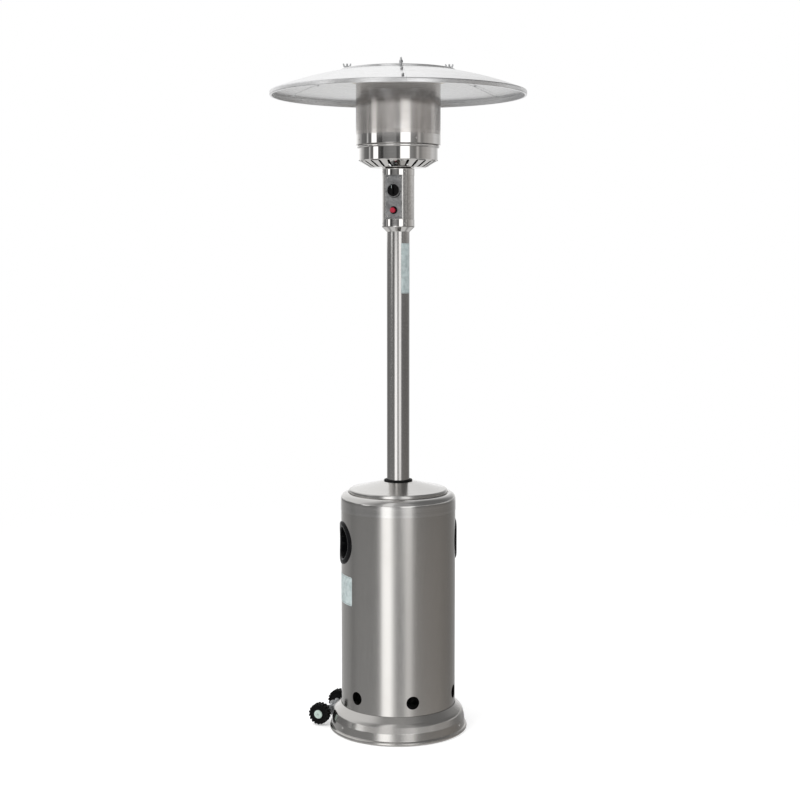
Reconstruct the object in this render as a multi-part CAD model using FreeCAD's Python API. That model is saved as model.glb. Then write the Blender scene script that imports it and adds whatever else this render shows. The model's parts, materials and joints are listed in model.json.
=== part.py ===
import FreeCAD, Part
import math
import os
from FreeCAD import Vector

# Free-standing gas patio heater: a weighted base, a sliding cylinder housing, a post, a control head, a burner
# with its emitter screen, and a domed reflector. Millimetres, +Z up, origin on the floor on the post's axis.
# The control panel faces -Y and the transport wheels are on the -X side.

# ------------------------------------------------------------------ sheet and clearances
SHEET = 0.8  # stainless sheet of the shells
FIT = 0.1  # gap between nested sheets that are fastened together
SLIDE_GAP = 0.8  # radial gap where the housing slides in the skirt and over the post
MOVE_GAP = 0.3  # gap between a moving piece and what it rests on or beside
RUNNING = 0.05  # radial running clearance of a shaft
HOLE_GAP = 0.25  # radial gap of a bolt in its hole
LABEL_T = 0.3

# ------------------------------------------------------------------ base
HOUSING_R = 190.0
SKIRT_FLARE = 40.0  # from the housing out to the skirt's rolled rim
SKIRT_H = 86.0
SKIRT_CREASE_Z = 39.0
RIM_H = 13.4
RIM_BULGE = 6.5
RIM_GAP = 0.6  # the rim's height above the floor
FOOT_H = 12.0
FOOT_R = 14.0
FOOT_INSET = 26.0
PLATE_T = 4.0
PLATE_RIM_T = 2.0
SKIRT_SCREW_Z = 30.0
SKIRT_SCREW_ANGLES = (-125.0, -5.0, 115.0)

# ------------------------------------------------------------------ cylinder housing
SHELL_H = 733.7
VENT_R = 21.5
VENT_Z = 131.0
VENT_ANGLES = [-115.5 + 60.0 * k for k in range(6)]
GRIP_ANGLES = {"left": -145.5, "right": 34.5}
GRIP_R = 71.0
GRIP_MOUTH_R = 52.0
GRIP_WALL = 2.5
GRIP_PROUD = 5.0
GRIP_DEPTH = 32.0  # from the housing's surface to the back of the recess
GRIP_Z = 631.0
LABEL_ANGLE = -145.5
LABEL_ARC = 150.0
LABEL_Z = (432.0, 527.0)
CAP_LAP = 13.5
CAP_CORNER_R = 21.0
CAP_SHOULDER_H = 56.5  # from the cap's lower edge to its shoulder
CAP_STEP = 24.0  # from the cap's side in to the groove
CAP_GROOVE_D = 6.0
CAP_GROOVE_W = 4.0
CAP_DISC_H = 11.5  # the raised disc's edge above the shoulder
CAP_CONE_H = 25.5
GROMMET_LIP = 8.4  # how far the ring laps over the cap
GROMMET_LAND = 5.0  # flat of the cap left around the ring
GROMMET_EDGE = 5.0  # from the sleeve to the edge of the cap's hole
GROMMET_H = 5.5

# ------------------------------------------------------------------ legs, post and gas line
LEG_W = 30.0
LEG_T = 4.0
LEG_GAP = 8.2  # from the housing's inner face to a leg
LEG_TAB = 74.0
LEG_BOLTS_IN = (40.0, 62.0)  # from the leg's outer face in to its bolts
LEG_ANGLES = {"left": 177.0, "right": -33.0, "rear": 72.0}
FLANGE_INSET = 31.0
FLANGE_T = 6.0
SPIGOT_H = 34.0
POST_R = 37.5
POST_WALL = 1.5
POST_LEN = 935.5
POST_LABEL_W = 39.0
POST_LABEL_H = 164.0
POST_LABEL_DROP = 73.5  # from the post's top down to the label
POST_LABEL_ANGLE = -25.0
PIPE_R = 5.0
PIPE_WALL = 1.2
INLET_R = 6.58
INLET_LEN = 18.0
BOLT_R = 4.0

# ------------------------------------------------------------------ wheel kit
WHEEL_OUT = 20.0  # from the skirt's rim out to the axle
WHEEL_TRACK = 170.0
WHEEL_R = 35.0
WHEEL_W = 30.0
WHEEL_CLEAR = 4.0  # the wheels' height above the floor while the heater stands upright
AXLE_R = 4.0
HUB_R = 14.5
HUB_DEPTH = 7.0
BRACKET_W = 60.0
BRACKET_T = 2.5
BRACKET_BOLT_Y = 15.0

# ------------------------------------------------------------------ control head
HEAD_R = 53.0
HEAD_LAP = 36.0  # how far the post stands up inside the head
HEAD_H = 206.5
TAPER_H = 15.5
LOWER_COLLAR_H = 24.0
UPPER_COLLAR_H = 22.0
COLLAR_SCREW_ANGLES = (-135.0, -45.0, 45.0, 135.0)
PANEL_Y = 43.6  # from the axis out to the flat panel's face
PANEL_T = 1.2
PANEL_SIDE = 1.8  # open gap between the panel's edge and the casing
KNOB_UP = 134.5  # knob's axis above the bottom of the head
KNOB_R = 19.5
KNOB_DEPTH = 17.0
KNOB_TRAVEL = 3.5
KNOB_GAP = 4.5
STEM_R = 3.0
WASHER_T = 1.5
VALVE_HALF = 17.0
VALVE_FRONT = -32.0
VALVE_BACK = 8.0
VALVE_SOCKET = 16.0  # from the valve's axis down to the end of the gas pipe
IGNITER_UP = 70.2
BUTTON_R = 8.5
BUTTON_PROUD = 15.0
BUTTON_TRAVEL = 6.0
BUTTON_STEM = 18.0
BEZEL_R = 12.5
BEZEL_H = 4.5

# ------------------------------------------------------------------ burner
BOWL_R = 130.0  # outside of the lower band
BOWL_TURN = 41.0  # from the lower band in to the bowl's flat
BOWL_RISE = 23.5
SLOT_COUNT = 24
SLOT_ANGLE = 5.0  # of the first air slot
SLOT_W = 9.0
SLOT_IN = (38.0, 10.0)  # from the lower band in to the ends of a slot
LOWER_BAND_Z = 26.0  # from the top of the head to the lower band
LOWER_BAND_H = 39.0
BEAD_OUT = 5.5  # the bead stands out from the lower band
BEAD_H = 10.0
UPPER_BAND_OUT = 9.5  # and the upper band stands out further
UPPER_BAND_H = 33.0
BAND_SCREW_ANGLES = (-45.0, 45.0, 135.0, 225.0)
MIX_R = 15.0
CUP_R = 60.0
PILOT_OUT = 18.0  # from the burner cup out to the pilot
RISER_R = 28.0
CUP_H = 40.0
CUP_UP = 43.0  # burner cup above the top of the head
SCREEN_H = 210.0
SCREEN_LAP = 30.0  # how far the screen stands inside the upper band
TOP_PLATE_T = 1.5
TOP_PLATE_EDGE = 13.0  # from the studs out to the plate's edge

# ------------------------------------------------------------------ reflector
REFLECTOR_R = 420.0
REFLECTOR_LIP = 14.0
DOME_H = 79.0
REFLECTOR_DROP = 53.0  # from the emitter's top down to the reflector's lower edge
HEM_W = 7.0
PANEL_COUNT = 3
PANEL_INNER_R = 120.0
SEAM_ANGLE = -66.5
LAP_ANGLE = 3.0
WEB_ANGLE = 0.6
SEAM_GAP = 0.1  # open angle between two panels
SEAM_SCREW_IN = 22.0  # from the rim in to the outermost screw of a seam
SEAM_SCREW_OUT = 25.0  # from the centre disc out to the innermost
DISC_OUT = 23.0  # from the studs out to the centre disc's edge
DISC_RISE = 6.0
STUD_OUT = 37.0  # from the lower band out to the reflector's studs
STUD_R = 3.0
STUD_ANGLES = [-67.0 + 90.0 * k for k in range(4)]
WING_HUB_R = 6.5
WING_H = 17.0

# ------------------------------------------------------------------ sizes worked out from the above
BASE_R = HOUSING_R + SKIRT_FLARE
WHEEL_X = -(BASE_R + WHEEL_OUT)
BAND_LOW_R = BASE_R - RIM_BULGE
BAND_TOP_R = BAND_LOW_R - 1.8
PLATE_TOP = FOOT_H + PLATE_T
FOOT_AT = BASE_R - FOOT_INSET
SHELL_BOTTOM = PLATE_TOP + MOVE_GAP
SHELL_TOP = SHELL_BOTTOM + SHELL_H
CAP_R = HOUSING_R + FIT + SHEET
CAP_BOTTOM = SHELL_TOP - CAP_LAP
CAP_SHOULDER = CAP_BOTTOM + CAP_SHOULDER_H
CAP_TOP = CAP_SHOULDER + CAP_DISC_H + CAP_CONE_H
SLEEVE_R = POST_R + LABEL_T + SLIDE_GAP
GROMMET_R = SLEEVE_R + GROMMET_LIP
GROMMET_LAND_R = GROMMET_R + GROMMET_LAND
LEG_R = HOUSING_R - SHEET - LEG_GAP
FLANGE_R = LEG_R - FLANGE_INSET
FLANGE_Z = SHELL_TOP
POST_BOTTOM = FLANGE_Z + FLANGE_T
POST_TOP = POST_BOTTOM + POST_LEN
POST_BORE = POST_R - POST_WALL
WHEEL_Z = WHEEL_R + WHEEL_CLEAR
HEAD_BOTTOM = POST_TOP - HEAD_LAP
HEAD_TOP = HEAD_BOTTOM + HEAD_H
CASING_BOTTOM = HEAD_BOTTOM + TAPER_H
COLLAR_R = HEAD_R + FIT + SHEET
COLLAR_TOP = CASING_BOTTOM + LOWER_COLLAR_H
UPPER_COLLAR_Z = HEAD_TOP - UPPER_COLLAR_H
LOWER_SCREW_Z = CASING_BOTTOM + LOWER_COLLAR_H / 2
UPPER_SCREW_Z = HEAD_TOP - UPPER_COLLAR_H / 2
PANEL_LOW = COLLAR_TOP + 2.0
PANEL_HIGH = UPPER_COLLAR_Z
PANEL_BACK = PANEL_Y - PANEL_T
PANEL_HALF = math.sqrt(HEAD_R ** 2 - PANEL_Y ** 2) - PANEL_SIDE
KNOB_Z = HEAD_BOTTOM + KNOB_UP
IGNITER_Z = HEAD_BOTTOM + IGNITER_UP
BOSS_FRONT = -PANEL_BACK + MOVE_GAP + WASHER_T + KNOB_TRAVEL + 3.0
BEAD_R = BOWL_R + BEAD_OUT
UPPER_BAND_R = BOWL_R + UPPER_BAND_OUT
PILOT_X = CUP_R + PILOT_OUT
BAND_Z = HEAD_TOP + LOWER_BAND_Z
BEAD_Z = BAND_Z + LOWER_BAND_H
UPPER_BAND_Z = BEAD_Z + BEAD_H
BAND_SCREW_Z = UPPER_BAND_Z + UPPER_BAND_H / 2
SCREEN_R = UPPER_BAND_R - SHEET - FIT
SCREEN_Z = UPPER_BAND_Z + UPPER_BAND_H - SCREEN_LAP
SCREEN_TOP = SCREEN_Z + SCREEN_H
STUD_AT = BOWL_R + STUD_OUT
TOP_PLATE_R = STUD_AT + TOP_PLATE_EDGE
DISC_R = STUD_AT + DISC_OUT
CUP_Z = HEAD_TOP + CUP_UP
REFLECTOR_Z = SCREEN_TOP - REFLECTOR_DROP
RIM_TOP = REFLECTOR_Z + REFLECTOR_LIP
DOME_R = (REFLECTOR_R ** 2 + DOME_H ** 2) / (2 * DOME_H)

AXIS = Vector(0, 0, 1)
ORIGIN = Vector(0, 0, 0)


# ------------------------------------------------------------------ ways of making a shape
def route(points, bends):
    """A wire through the points, with each inner corner rounded by a tangent arc of its own radius."""
    edges = []
    start = points[0]
    for before, corner, after, bend in zip(points, points[1:], points[2:], bends):
        way_in = (corner - before).normalize()
        way_out = (after - corner).normalize()
        turn = way_in.getAngle(way_out)
        if bend == 0:
            edges.append(Part.LineSegment(start, corner).toShape())
            start = corner
            continue
        reach = bend * math.tan(turn / 2)
        arc_start = corner - way_in * reach
        arc_end = corner + way_out * reach
        middle = corner + (way_out - way_in).normalize() * (bend / math.cos(turn / 2) - bend)
        if start.distanceToPoint(arc_start) > 1e-4:
            edges.append(Part.LineSegment(start, arc_start).toShape())
        edges.append(Part.Arc(arc_start, middle, arc_end).toShape())
        start = arc_end
    edges.append(Part.LineSegment(start, points[-1]).toShape())
    return Part.Wire(edges)


def section(points):
    """A wire in the XZ plane through (radius, height) or (radius, height, corner radius) points."""
    spots = [Vector(p[0], 0, p[1]) for p in points]
    bends = [p[2] if len(p) > 2 else 0 for p in points[1:-1]]
    return route(spots, bends)


def turned_sheet(outline, thickness=SHEET, angle=360.0):
    """A sheet turned about the post's axis. The outline is its outer face, drawn outward and down."""
    face = outline.makeOffset2D(-thickness, 2, True, True)
    return face.revolve(ORIGIN, AXIS, angle)


def turned_sheet_below(outline):
    """A turned sheet whose outline is its lower, outer face, drawn from the axis outward and up."""
    return outline.makeOffset2D(SHEET, 2, True, True).revolve(ORIGIN, AXIS, 360.0)


def turned(points):
    """A solid turned from a closed section."""
    return Part.Face(section(points + [points[0]])).revolve(ORIGIN, AXIS, 360.0)


def ring(inner, outer, low, high):
    tube = Part.makeCylinder(outer, high - low, Vector(0, 0, low))
    return tube.cut(Part.makeCylinder(inner, high - low + 2, Vector(0, 0, low - 1)))


def disc(radius, low, high, x=0.0, y=0.0):
    return Part.makeCylinder(radius, high - low, Vector(x, y, low))


def block(x, y, z):
    """A box between two limits on each axis."""
    return Part.makeBox(x[1] - x[0], y[1] - y[0], z[1] - z[0], Vector(x[0], y[0], z[0]))


def hexagon(across, height):
    corner = across / math.sqrt(3)
    turns = [math.radians(60 * k) for k in range(7)]
    spots = [Vector(corner * math.cos(turn), corner * math.sin(turn), 0) for turn in turns]
    return Part.Face(Part.makePolygon(spots)).extrude(Vector(0, 0, height))


def swung(shape, angle, radius=0.0, height=0.0):
    """A copy moved out along +X and up, then swung about the post's axis."""
    copy = shape.copy()
    copy.translate(Vector(radius, 0, height))
    copy.rotate(ORIGIN, AXIS, angle)
    return copy


def laid(shape, direction):
    """A copy turned from +Z to point along a direction."""
    copy = shape.copy()
    copy.Placement = FreeCAD.Placement(ORIGIN, FreeCAD.Rotation(AXIS, direction))
    return copy


def front_rod(radius, front, back, height, x=0.0):
    """A rod or cutter square to the front panel, between two places along Y."""
    return laid(Part.makeCylinder(radius, back - front), Vector(0, 1, 0)).translated(Vector(x, front, height))


def radial_hole(radius, angle, height, near, far):
    """A cutter along a radius of the heater, between two distances from the axis."""
    return swung(laid(Part.makeCylinder(radius, far - near), Vector(1, 0, 0)), angle, near, height)


def dome_head(radius, height, side=0.35):
    """A round head standing on the XY plane: a short straight side, then a part of a ball."""
    edge = height * side
    crown = height - edge
    ball = (radius ** 2 + crown ** 2) / (2 * crown)
    halfway = Vector(radius / 2, 0, height - ball + math.sqrt(ball ** 2 - radius ** 2 / 4))
    rise = Part.Arc(Vector(radius, 0, edge), halfway, Vector(0, 0, height))
    sides = [
        Part.LineSegment(Vector(0, 0, height), ORIGIN).toShape(),
        Part.LineSegment(ORIGIN, Vector(radius, 0, 0)).toShape(),
        Part.LineSegment(Vector(radius, 0, 0), Vector(radius, 0, edge)).toShape(),
    ]
    return Part.Face(Part.Wire(sides + [rise.toShape()])).revolve(ORIGIN, AXIS, 360.0)


def pan_screw(shank, head, head_h, length):
    """A pan-head screw with its head above the XY plane and its shank below."""
    slot = block((-head, head), (-0.5, 0.5), (head_h * 0.6, head_h * 2))
    return dome_head(head, head_h).cut(slot).fuse(Part.makeCylinder(shank, length, ORIGIN, Vector(0, 0, -1)))


def bolt(shank, grip, across):
    """A hexagon bolt with its nut, its head on the XY plane and the clamped stack below."""
    head = hexagon(across, shank * 1.3)
    nut = hexagon(across, shank * 1.3)
    nut.translate(Vector(0, 0, -grip - shank * 1.3))
    body = Part.makeCylinder(shank, grip + shank * 1.3, ORIGIN, Vector(0, 0, -1))
    return head.fuse([nut, body])


def sector(inner, outer, low, high, middle_angle, arc):
    """Part of a ring, as long as an arc measured on its inner face."""
    spread = math.degrees(arc / inner)
    face = Part.Face(Part.makePolygon([
        Vector(inner, 0, low), Vector(outer, 0, low), Vector(outer, 0, high), Vector(inner, 0, high),
        Vector(inner, 0, low),
    ]))
    piece = face.revolve(ORIGIN, AXIS, spread)
    piece.rotate(ORIGIN, AXIS, middle_angle - spread / 2)
    return piece


def tube_along(points, radius, bend):
    """A round rod along straight runs joined by tangent arcs."""
    path = route(points, [bend] * (len(points) - 2))
    start = Part.Wire(Part.makeCircle(radius, points[0], points[1] - points[0]))
    return path.makePipeShell([start], True, False)


# ------------------------------------------------------------------ base
def band_radius(height):
    """Outer radius of the skirt's straight band at a height."""
    share = (SKIRT_CREASE_Z - height) / (SKIRT_CREASE_Z - RIM_H)
    return BAND_TOP_R + (BAND_LOW_R - BAND_TOP_R) * share


def skirt_screw_holes(cutter_r):
    near = band_radius(PLATE_TOP) - 12
    return [radial_hole(cutter_r, a, SKIRT_SCREW_Z, near, BASE_R + 5) for a in SKIRT_SCREW_ANGLES]


def bracket_bolt_holes(cutter_r):
    side = laid(Part.makeCylinder(cutter_r, 30.0), Vector(-1, 0, 0))
    holes = []
    for y in (-BRACKET_BOLT_Y, BRACKET_BOLT_Y):
        hole = side.copy()
        hole.translate(Vector(12 - band_radius(PLATE_TOP), y, SKIRT_SCREW_Z))
        holes.append(hole)
    return holes


def leg_bolt_spots():
    return [(LEG_R - inset, angle) for angle in LEG_ANGLES.values() for inset in LEG_BOLTS_IN]


def foot_angles():
    return [45.0 + 90.0 * k for k in range(4)]


def base_plate():
    """A steel disc with an upturned rim that carries the skirt."""
    bend_top = PLATE_TOP + 4
    rim_top = SKIRT_CREASE_Z - 1.5
    low_r = band_radius(bend_top) - SHEET - MOVE_GAP
    top_r = band_radius(rim_top) - SHEET - MOVE_GAP
    plate = turned([
        (0, FOOT_H), (low_r, FOOT_H, 2.0), (low_r, bend_top), (top_r, rim_top),
        (top_r - PLATE_RIM_T, rim_top),
        (low_r - PLATE_RIM_T, bend_top), (low_r - PLATE_RIM_T, PLATE_TOP, 1.0), (0, PLATE_TOP),
    ])
    hole = disc(4.2, FOOT_H - 1, PLATE_TOP + 1)
    cuts = [swung(hole, a, FOOT_AT) for a in foot_angles()]
    bolt_hole = disc(BOLT_R + HOLE_GAP, FOOT_H - 1, PLATE_TOP + 1)
    cuts += [swung(bolt_hole, a, r) for r, a in leg_bolt_spots()]
    cuts += skirt_screw_holes(2.0 + HOLE_GAP)
    cuts += bracket_bolt_holes(3.0 + HOLE_GAP)
    return plate.cut(cuts)


def base_skirt():
    """The flared cover of the base: neck, shoulder, band and rolled rim."""
    neck_r = HOUSING_R + SLIDE_GAP + SHEET
    low = RIM_GAP
    outline = section([
        (neck_r, SKIRT_H), (BAND_TOP_R - 6.4, SKIRT_CREASE_Z + 26, 22.0), (BAND_TOP_R, SKIRT_CREASE_Z, 6.0),
        (BAND_LOW_R, RIM_H, 1.6), (BASE_R, RIM_H, 4.6), (BASE_R, low, 4.6), (BASE_R - 9, low),
    ])
    skirt = turned_sheet(outline)
    return skirt.cut(skirt_screw_holes(2.0 + HOLE_GAP) + bracket_bolt_holes(3.0 + HOLE_GAP))


def rubber_feet():
    stem = 4.0
    foot = turned([
        (0, 0), (FOOT_R, 0, 1.5), (FOOT_R - 1.5, FOOT_H), (stem, FOOT_H), (stem, PLATE_TOP),
        (stem + 1.5, PLATE_TOP),
        (stem - 1, PLATE_TOP + 3.5), (0, PLATE_TOP + 3.5),
    ])
    return Part.makeCompound([swung(foot, a, FOOT_AT) for a in foot_angles()])


def skirt_screws():
    screw = laid(pan_screw(2.0, 4.2, 2.4, 7.0), Vector(1, 0, 0))
    seat = band_radius(SKIRT_SCREW_Z) + 0.4
    return [swung(screw, a, seat, SKIRT_SCREW_Z) for a in SKIRT_SCREW_ANGLES]


def support_leg(angle):
    """A flat bar bent inward at both ends, from the base plate up to the post flange."""
    start = LEG_R - LEG_TAB
    path = section([(start, PLATE_TOP), (LEG_R, PLATE_TOP, 7.0), (LEG_R, FLANGE_Z, 7.0), (start, FLANGE_Z)])
    bar = path.makeOffset2D(LEG_T, 2, True, True).extrude(Vector(0, LEG_W, 0))
    bar.translate(Vector(0, -LEG_W / 2, 0))
    hole = BOLT_R + HOLE_GAP
    for inset in LEG_BOLTS_IN:
        bar = bar.cut(disc(hole, PLATE_TOP - 1, PLATE_TOP + LEG_T + 1, LEG_R - inset))
        bar = bar.cut(disc(hole, FLANGE_Z - LEG_T - 1, FLANGE_Z + 1, LEG_R - inset))
    return swung(bar, angle)


def leg_bolts():
    low = bolt(BOLT_R, LEG_T + PLATE_T, 13.0)
    high = bolt(BOLT_R, FLANGE_T + LEG_T, 13.0)
    bolts = [swung(low, a, r, PLATE_TOP + LEG_T) for r, a in leg_bolt_spots()]
    return bolts + [swung(high, a, r, FLANGE_Z + FLANGE_T) for r, a in leg_bolt_spots()]


# ------------------------------------------------------------------ post and gas line
def post_flange():
    """The round plate on top of the legs, with a spigot that the post stands over."""
    plate = disc(FLANGE_R, FLANGE_Z, POST_BOTTOM)
    spigot = ring(POST_BORE - FIT - 3.0, POST_BORE - FIT, POST_BOTTOM, POST_BOTTOM + SPIGOT_H)
    hole = disc(BOLT_R + HOLE_GAP, FLANGE_Z - 1, POST_BOTTOM + 1)
    cuts = [swung(hole, a, r) for r, a in leg_bolt_spots()]
    cuts.append(disc(9.0 + HOLE_GAP, FLANGE_Z - 1, POST_BOTTOM + 1))
    return plate.fuse(spigot).cut(cuts)


def post_tube():
    return ring(POST_BORE, POST_R, POST_BOTTOM, POST_TOP)


def post_label():
    high = POST_TOP - POST_LABEL_DROP
    inner = POST_R + 0.02
    return sector(inner, inner + LABEL_T, high - POST_LABEL_H, high, POST_LABEL_ANGLE, POST_LABEL_W)


def gas_pipe():
    return ring(PIPE_R - PIPE_WALL, PIPE_R, FLANGE_Z + 2, KNOB_Z - VALVE_SOCKET)


def gas_inlet_fitting():
    """Brass fitting under the post flange: hose thread below, locknut and pipe socket above."""
    thread_end = FLANGE_Z - 14 - INLET_LEN
    socket = POST_BOTTOM + 12
    body = turned([
        (3.2, thread_end), (INLET_R, thread_end), (INLET_R, FLANGE_Z - 14), (11.0, FLANGE_Z - 14),
        (11.0, FLANGE_Z),
        (9.0, FLANGE_Z), (9.0, socket), (PIPE_R, socket), (PIPE_R, FLANGE_Z + 2), (3.2, FLANGE_Z + 2),
    ])
    flats = hexagon(24.0, 9.0)
    flats.translate(Vector(0, 0, FLANGE_Z - 9))
    locknut = hexagon(26.0, 5.0)
    locknut.translate(Vector(0, 0, POST_BOTTOM))
    core = disc(9.0, thread_end - 1, socket + 1)
    return body.fuse([flats.cut(core), locknut.cut(core)])


# ------------------------------------------------------------------ wheel kit
def wheel_bracket():
    """A folded plate on the skirt's band with two ears for the axle."""
    back = -band_radius(SKIRT_SCREW_Z) - 1.2
    low = SKIRT_SCREW_Z - 12
    high = SKIRT_SCREW_Z + 22
    half = BRACKET_W / 2
    web = block((back - BRACKET_T, back), (-half, half), (low, high - 8))
    ear = block((WHEEL_X, back), (half - BRACKET_T, half), (low, high))
    nose = laid(Part.makeCylinder(12.0, BRACKET_T), Vector(0, 1, 0))
    nose.translate(Vector(WHEEL_X, half - BRACKET_T, WHEEL_Z))
    wedge = Part.Face(Part.makePolygon([
        Vector(WHEEL_X - 15, 0, low - 1), Vector(back - 6, 0, low - 1), Vector(WHEEL_X, 0, WHEEL_Z - 12),
        Vector(WHEEL_X - 15, 0, WHEEL_Z - 12), Vector(WHEEL_X - 15, 0, low - 1),
    ])).extrude(Vector(0, BRACKET_W, 0))
    ear = ear.cut(wedge).fuse(nose)
    ears = []
    for side in (1, -1):
        copy = ear.copy()
        copy.translate(Vector(0, 0 if side > 0 else BRACKET_T - BRACKET_W, 0))
        ears.append(copy)
    axle_hole = laid(Part.makeCylinder(AXLE_R, BRACKET_W + 10), Vector(0, 1, 0))
    axle_hole.translate(Vector(WHEEL_X, -half - 5, WHEEL_Z))
    return web.fuse(ears).cut([axle_hole] + bracket_bolt_holes(3.0 + HOLE_GAP))


def bracket_bolts():
    seat = -band_radius(SKIRT_SCREW_Z) - 1.2 - BRACKET_T
    grip = -seat - (band_radius(SKIRT_SCREW_Z) - SHEET - MOVE_GAP - PLATE_RIM_T) + 1.6
    fastener = laid(bolt(3.0, grip, 10.0), Vector(-1, 0, 0))
    bolts = []
    for y in (-BRACKET_BOLT_Y, BRACKET_BOLT_Y):
        copy = fastener.copy()
        copy.translate(Vector(seat, y, SKIRT_SCREW_Z))
        bolts.append(copy)
    return bolts


def frame_bolts():
    """The hexagon bolts of the legs, the post flange and the wheel bracket, with their nuts."""
    return Part.makeCompound(leg_bolts() + bracket_bolts())


def on_axle(shape, side):
    """Places a piece drawn along +Z, outer end up, on the axle at the front (-Y) or rear (+Y) wheel."""
    copy = laid(shape, Vector(0, side, 0))
    copy.translate(Vector(WHEEL_X, side * WHEEL_TRACK / 2, WHEEL_Z))
    return copy


def axle():
    reach = WHEEL_TRACK / 2 + WHEEL_W / 2 - 3.5
    rod = laid(Part.makeCylinder(AXLE_R, 2 * reach), Vector(0, 1, 0))
    rod.translate(Vector(WHEEL_X, -reach, WHEEL_Z))
    return rod


def axle_retainers():
    """Push-on collars on both sides of each wheel."""
    floor = WHEEL_W / 2 - HUB_DEPTH
    outer = ring(AXLE_R, AXLE_R * 2, floor + MOVE_GAP, floor + MOVE_GAP + 2.2)
    inner = ring(AXLE_R, AXLE_R * 2.2, -WHEEL_W / 2 - MOVE_GAP - 2.0, -WHEEL_W / 2 - MOVE_GAP)
    return Part.makeCompound([on_axle(piece, side) for side in (-1, 1) for piece in (outer, inner)])


def wheel(side):
    half = WHEEL_W / 2
    tyre = turned([
        (AXLE_R + RUNNING, -half), (WHEEL_R * 0.55, -half), (WHEEL_R * 0.6, -half + 3, 2.0),
        (WHEEL_R * 0.8, -half, 3.0), (WHEEL_R, -half + 5, 3.0), (WHEEL_R, half - 5, 3.0),
        (WHEEL_R * 0.8, half, 3.0), (WHEEL_R * 0.6, half - 3, 2.0), (WHEEL_R * 0.55, half),
        (HUB_R, half), (HUB_R, half - HUB_DEPTH), (AXLE_R + RUNNING, half - HUB_DEPTH),
    ])
    groove = block((WHEEL_R - 3.0, WHEEL_R + 2), (-1.6, 1.6), (-half - 1, half + 1))
    grooves = [swung(groove, 20.0 * k) for k in range(18)]
    return on_axle(tyre.cut(grooves), side)


def hub_cap(side):
    half = WHEEL_W / 2
    outer = HUB_R - FIT
    cap = turned([
        (0, half + 1.0), (outer - 2, half + 1.0), (outer - 2, half - HUB_DEPTH + 1),
        (outer, half - HUB_DEPTH + 1),
        (outer, half + 1.5, 1.0), (outer - 4, half + 3.5, 3.0), (0, half + 3.5),
    ])
    return on_axle(cap, side)


# ------------------------------------------------------------------ cylinder housing
def grip_hole(radius, angle):
    return radial_hole(radius, angle, GRIP_Z, HOUSING_R - 50, HOUSING_R + 20)


def housing_shell():
    """The rolled sheet around the gas cylinder, with its vents and grip openings."""
    shell = ring(HOUSING_R - SHEET, HOUSING_R, SHELL_BOTTOM, SHELL_TOP)
    cuts = [radial_hole(VENT_R, a, VENT_Z, HOUSING_R - 10, HOUSING_R + 10) for a in VENT_ANGLES]
    cuts += [grip_hole(GRIP_MOUTH_R + GRIP_WALL + FIT, a) for a in GRIP_ANGLES.values()]
    return shell.cut(cuts)


def housing_cap():
    """The pressed lid: side, rounded shoulder, groove and raised conical disc."""
    groove_r = CAP_R - CAP_STEP
    edge_r = groove_r - CAP_GROOVE_W
    outline = section([
        (SLEEVE_R + GROMMET_EDGE, CAP_TOP), (GROMMET_LAND_R, CAP_TOP, 3.0),
        (edge_r, CAP_SHOULDER + CAP_DISC_H, 4.0),
        (edge_r, CAP_SHOULDER - CAP_GROOVE_D, 1.3), (groove_r, CAP_SHOULDER - CAP_GROOVE_D, 1.3),
        (groove_r, CAP_SHOULDER, 1.6), (CAP_R, CAP_SHOULDER, CAP_CORNER_R), (CAP_R, CAP_BOTTOM),
    ])
    return turned_sheet(outline)


def post_grommet():
    """The ring that lines the cap's hole, gripping the sheet in its groove."""
    neck = SLEEVE_R + GROMMET_EDGE - FIT
    low = CAP_TOP - SHEET
    return turned([
        (SLEEVE_R, low - 3), (GROMMET_R - 1, low - 3), (GROMMET_R - 1, low), (neck, low), (neck, CAP_TOP),
        (GROMMET_R, CAP_TOP), (GROMMET_R, CAP_TOP + GROMMET_H, 1.5), (SLEEVE_R, CAP_TOP + GROMMET_H),
    ])


def grip(angle):
    """A round finger recess with a flange that follows the housing's curve."""
    back = HOUSING_R - GRIP_DEPTH
    outside = HOUSING_R + GRIP_PROUD
    cup_r = GRIP_MOUTH_R + GRIP_WALL
    limit = disc(outside, GRIP_Z - GRIP_R - 5, GRIP_Z + GRIP_R + 5)
    flange = radial_hole(GRIP_R, 0, GRIP_Z, HOUSING_R - 60, HOUSING_R + 20)
    flange = flange.common(limit).cut(disc(HOUSING_R + FIT / 2, GRIP_Z - GRIP_R - 6, GRIP_Z + GRIP_R + 6))
    cup = radial_hole(cup_r, 0, GRIP_Z, back, HOUSING_R + 20).common(limit)
    recess = radial_hole(GRIP_MOUTH_R, 0, GRIP_Z, back + GRIP_WALL, HOUSING_R + 25)
    return swung(flange.fuse(cup).cut(recess), angle)


def housing_label():
    inner = HOUSING_R + 0.02
    return sector(inner, inner + LABEL_T, LABEL_Z[0], LABEL_Z[1], LABEL_ANGLE, LABEL_ARC)


# ------------------------------------------------------------------ control head
def collar_holes(height):
    return [radial_hole(2.0 + HOLE_GAP, a, height, HEAD_R - 8, HEAD_R + 8) for a in COLLAR_SCREW_ANGLES]


def head_collar():
    """The polished lower collar, tapering in to the post."""
    outline = section([
        (COLLAR_R, COLLAR_TOP), (COLLAR_R, CASING_BOTTOM, 3.0), (POST_R + 1.6, HEAD_BOTTOM + 1, 1.2),
        (POST_R + 1.0, HEAD_BOTTOM),
    ])
    return turned_sheet(outline).cut(collar_holes(LOWER_SCREW_Z))


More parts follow.
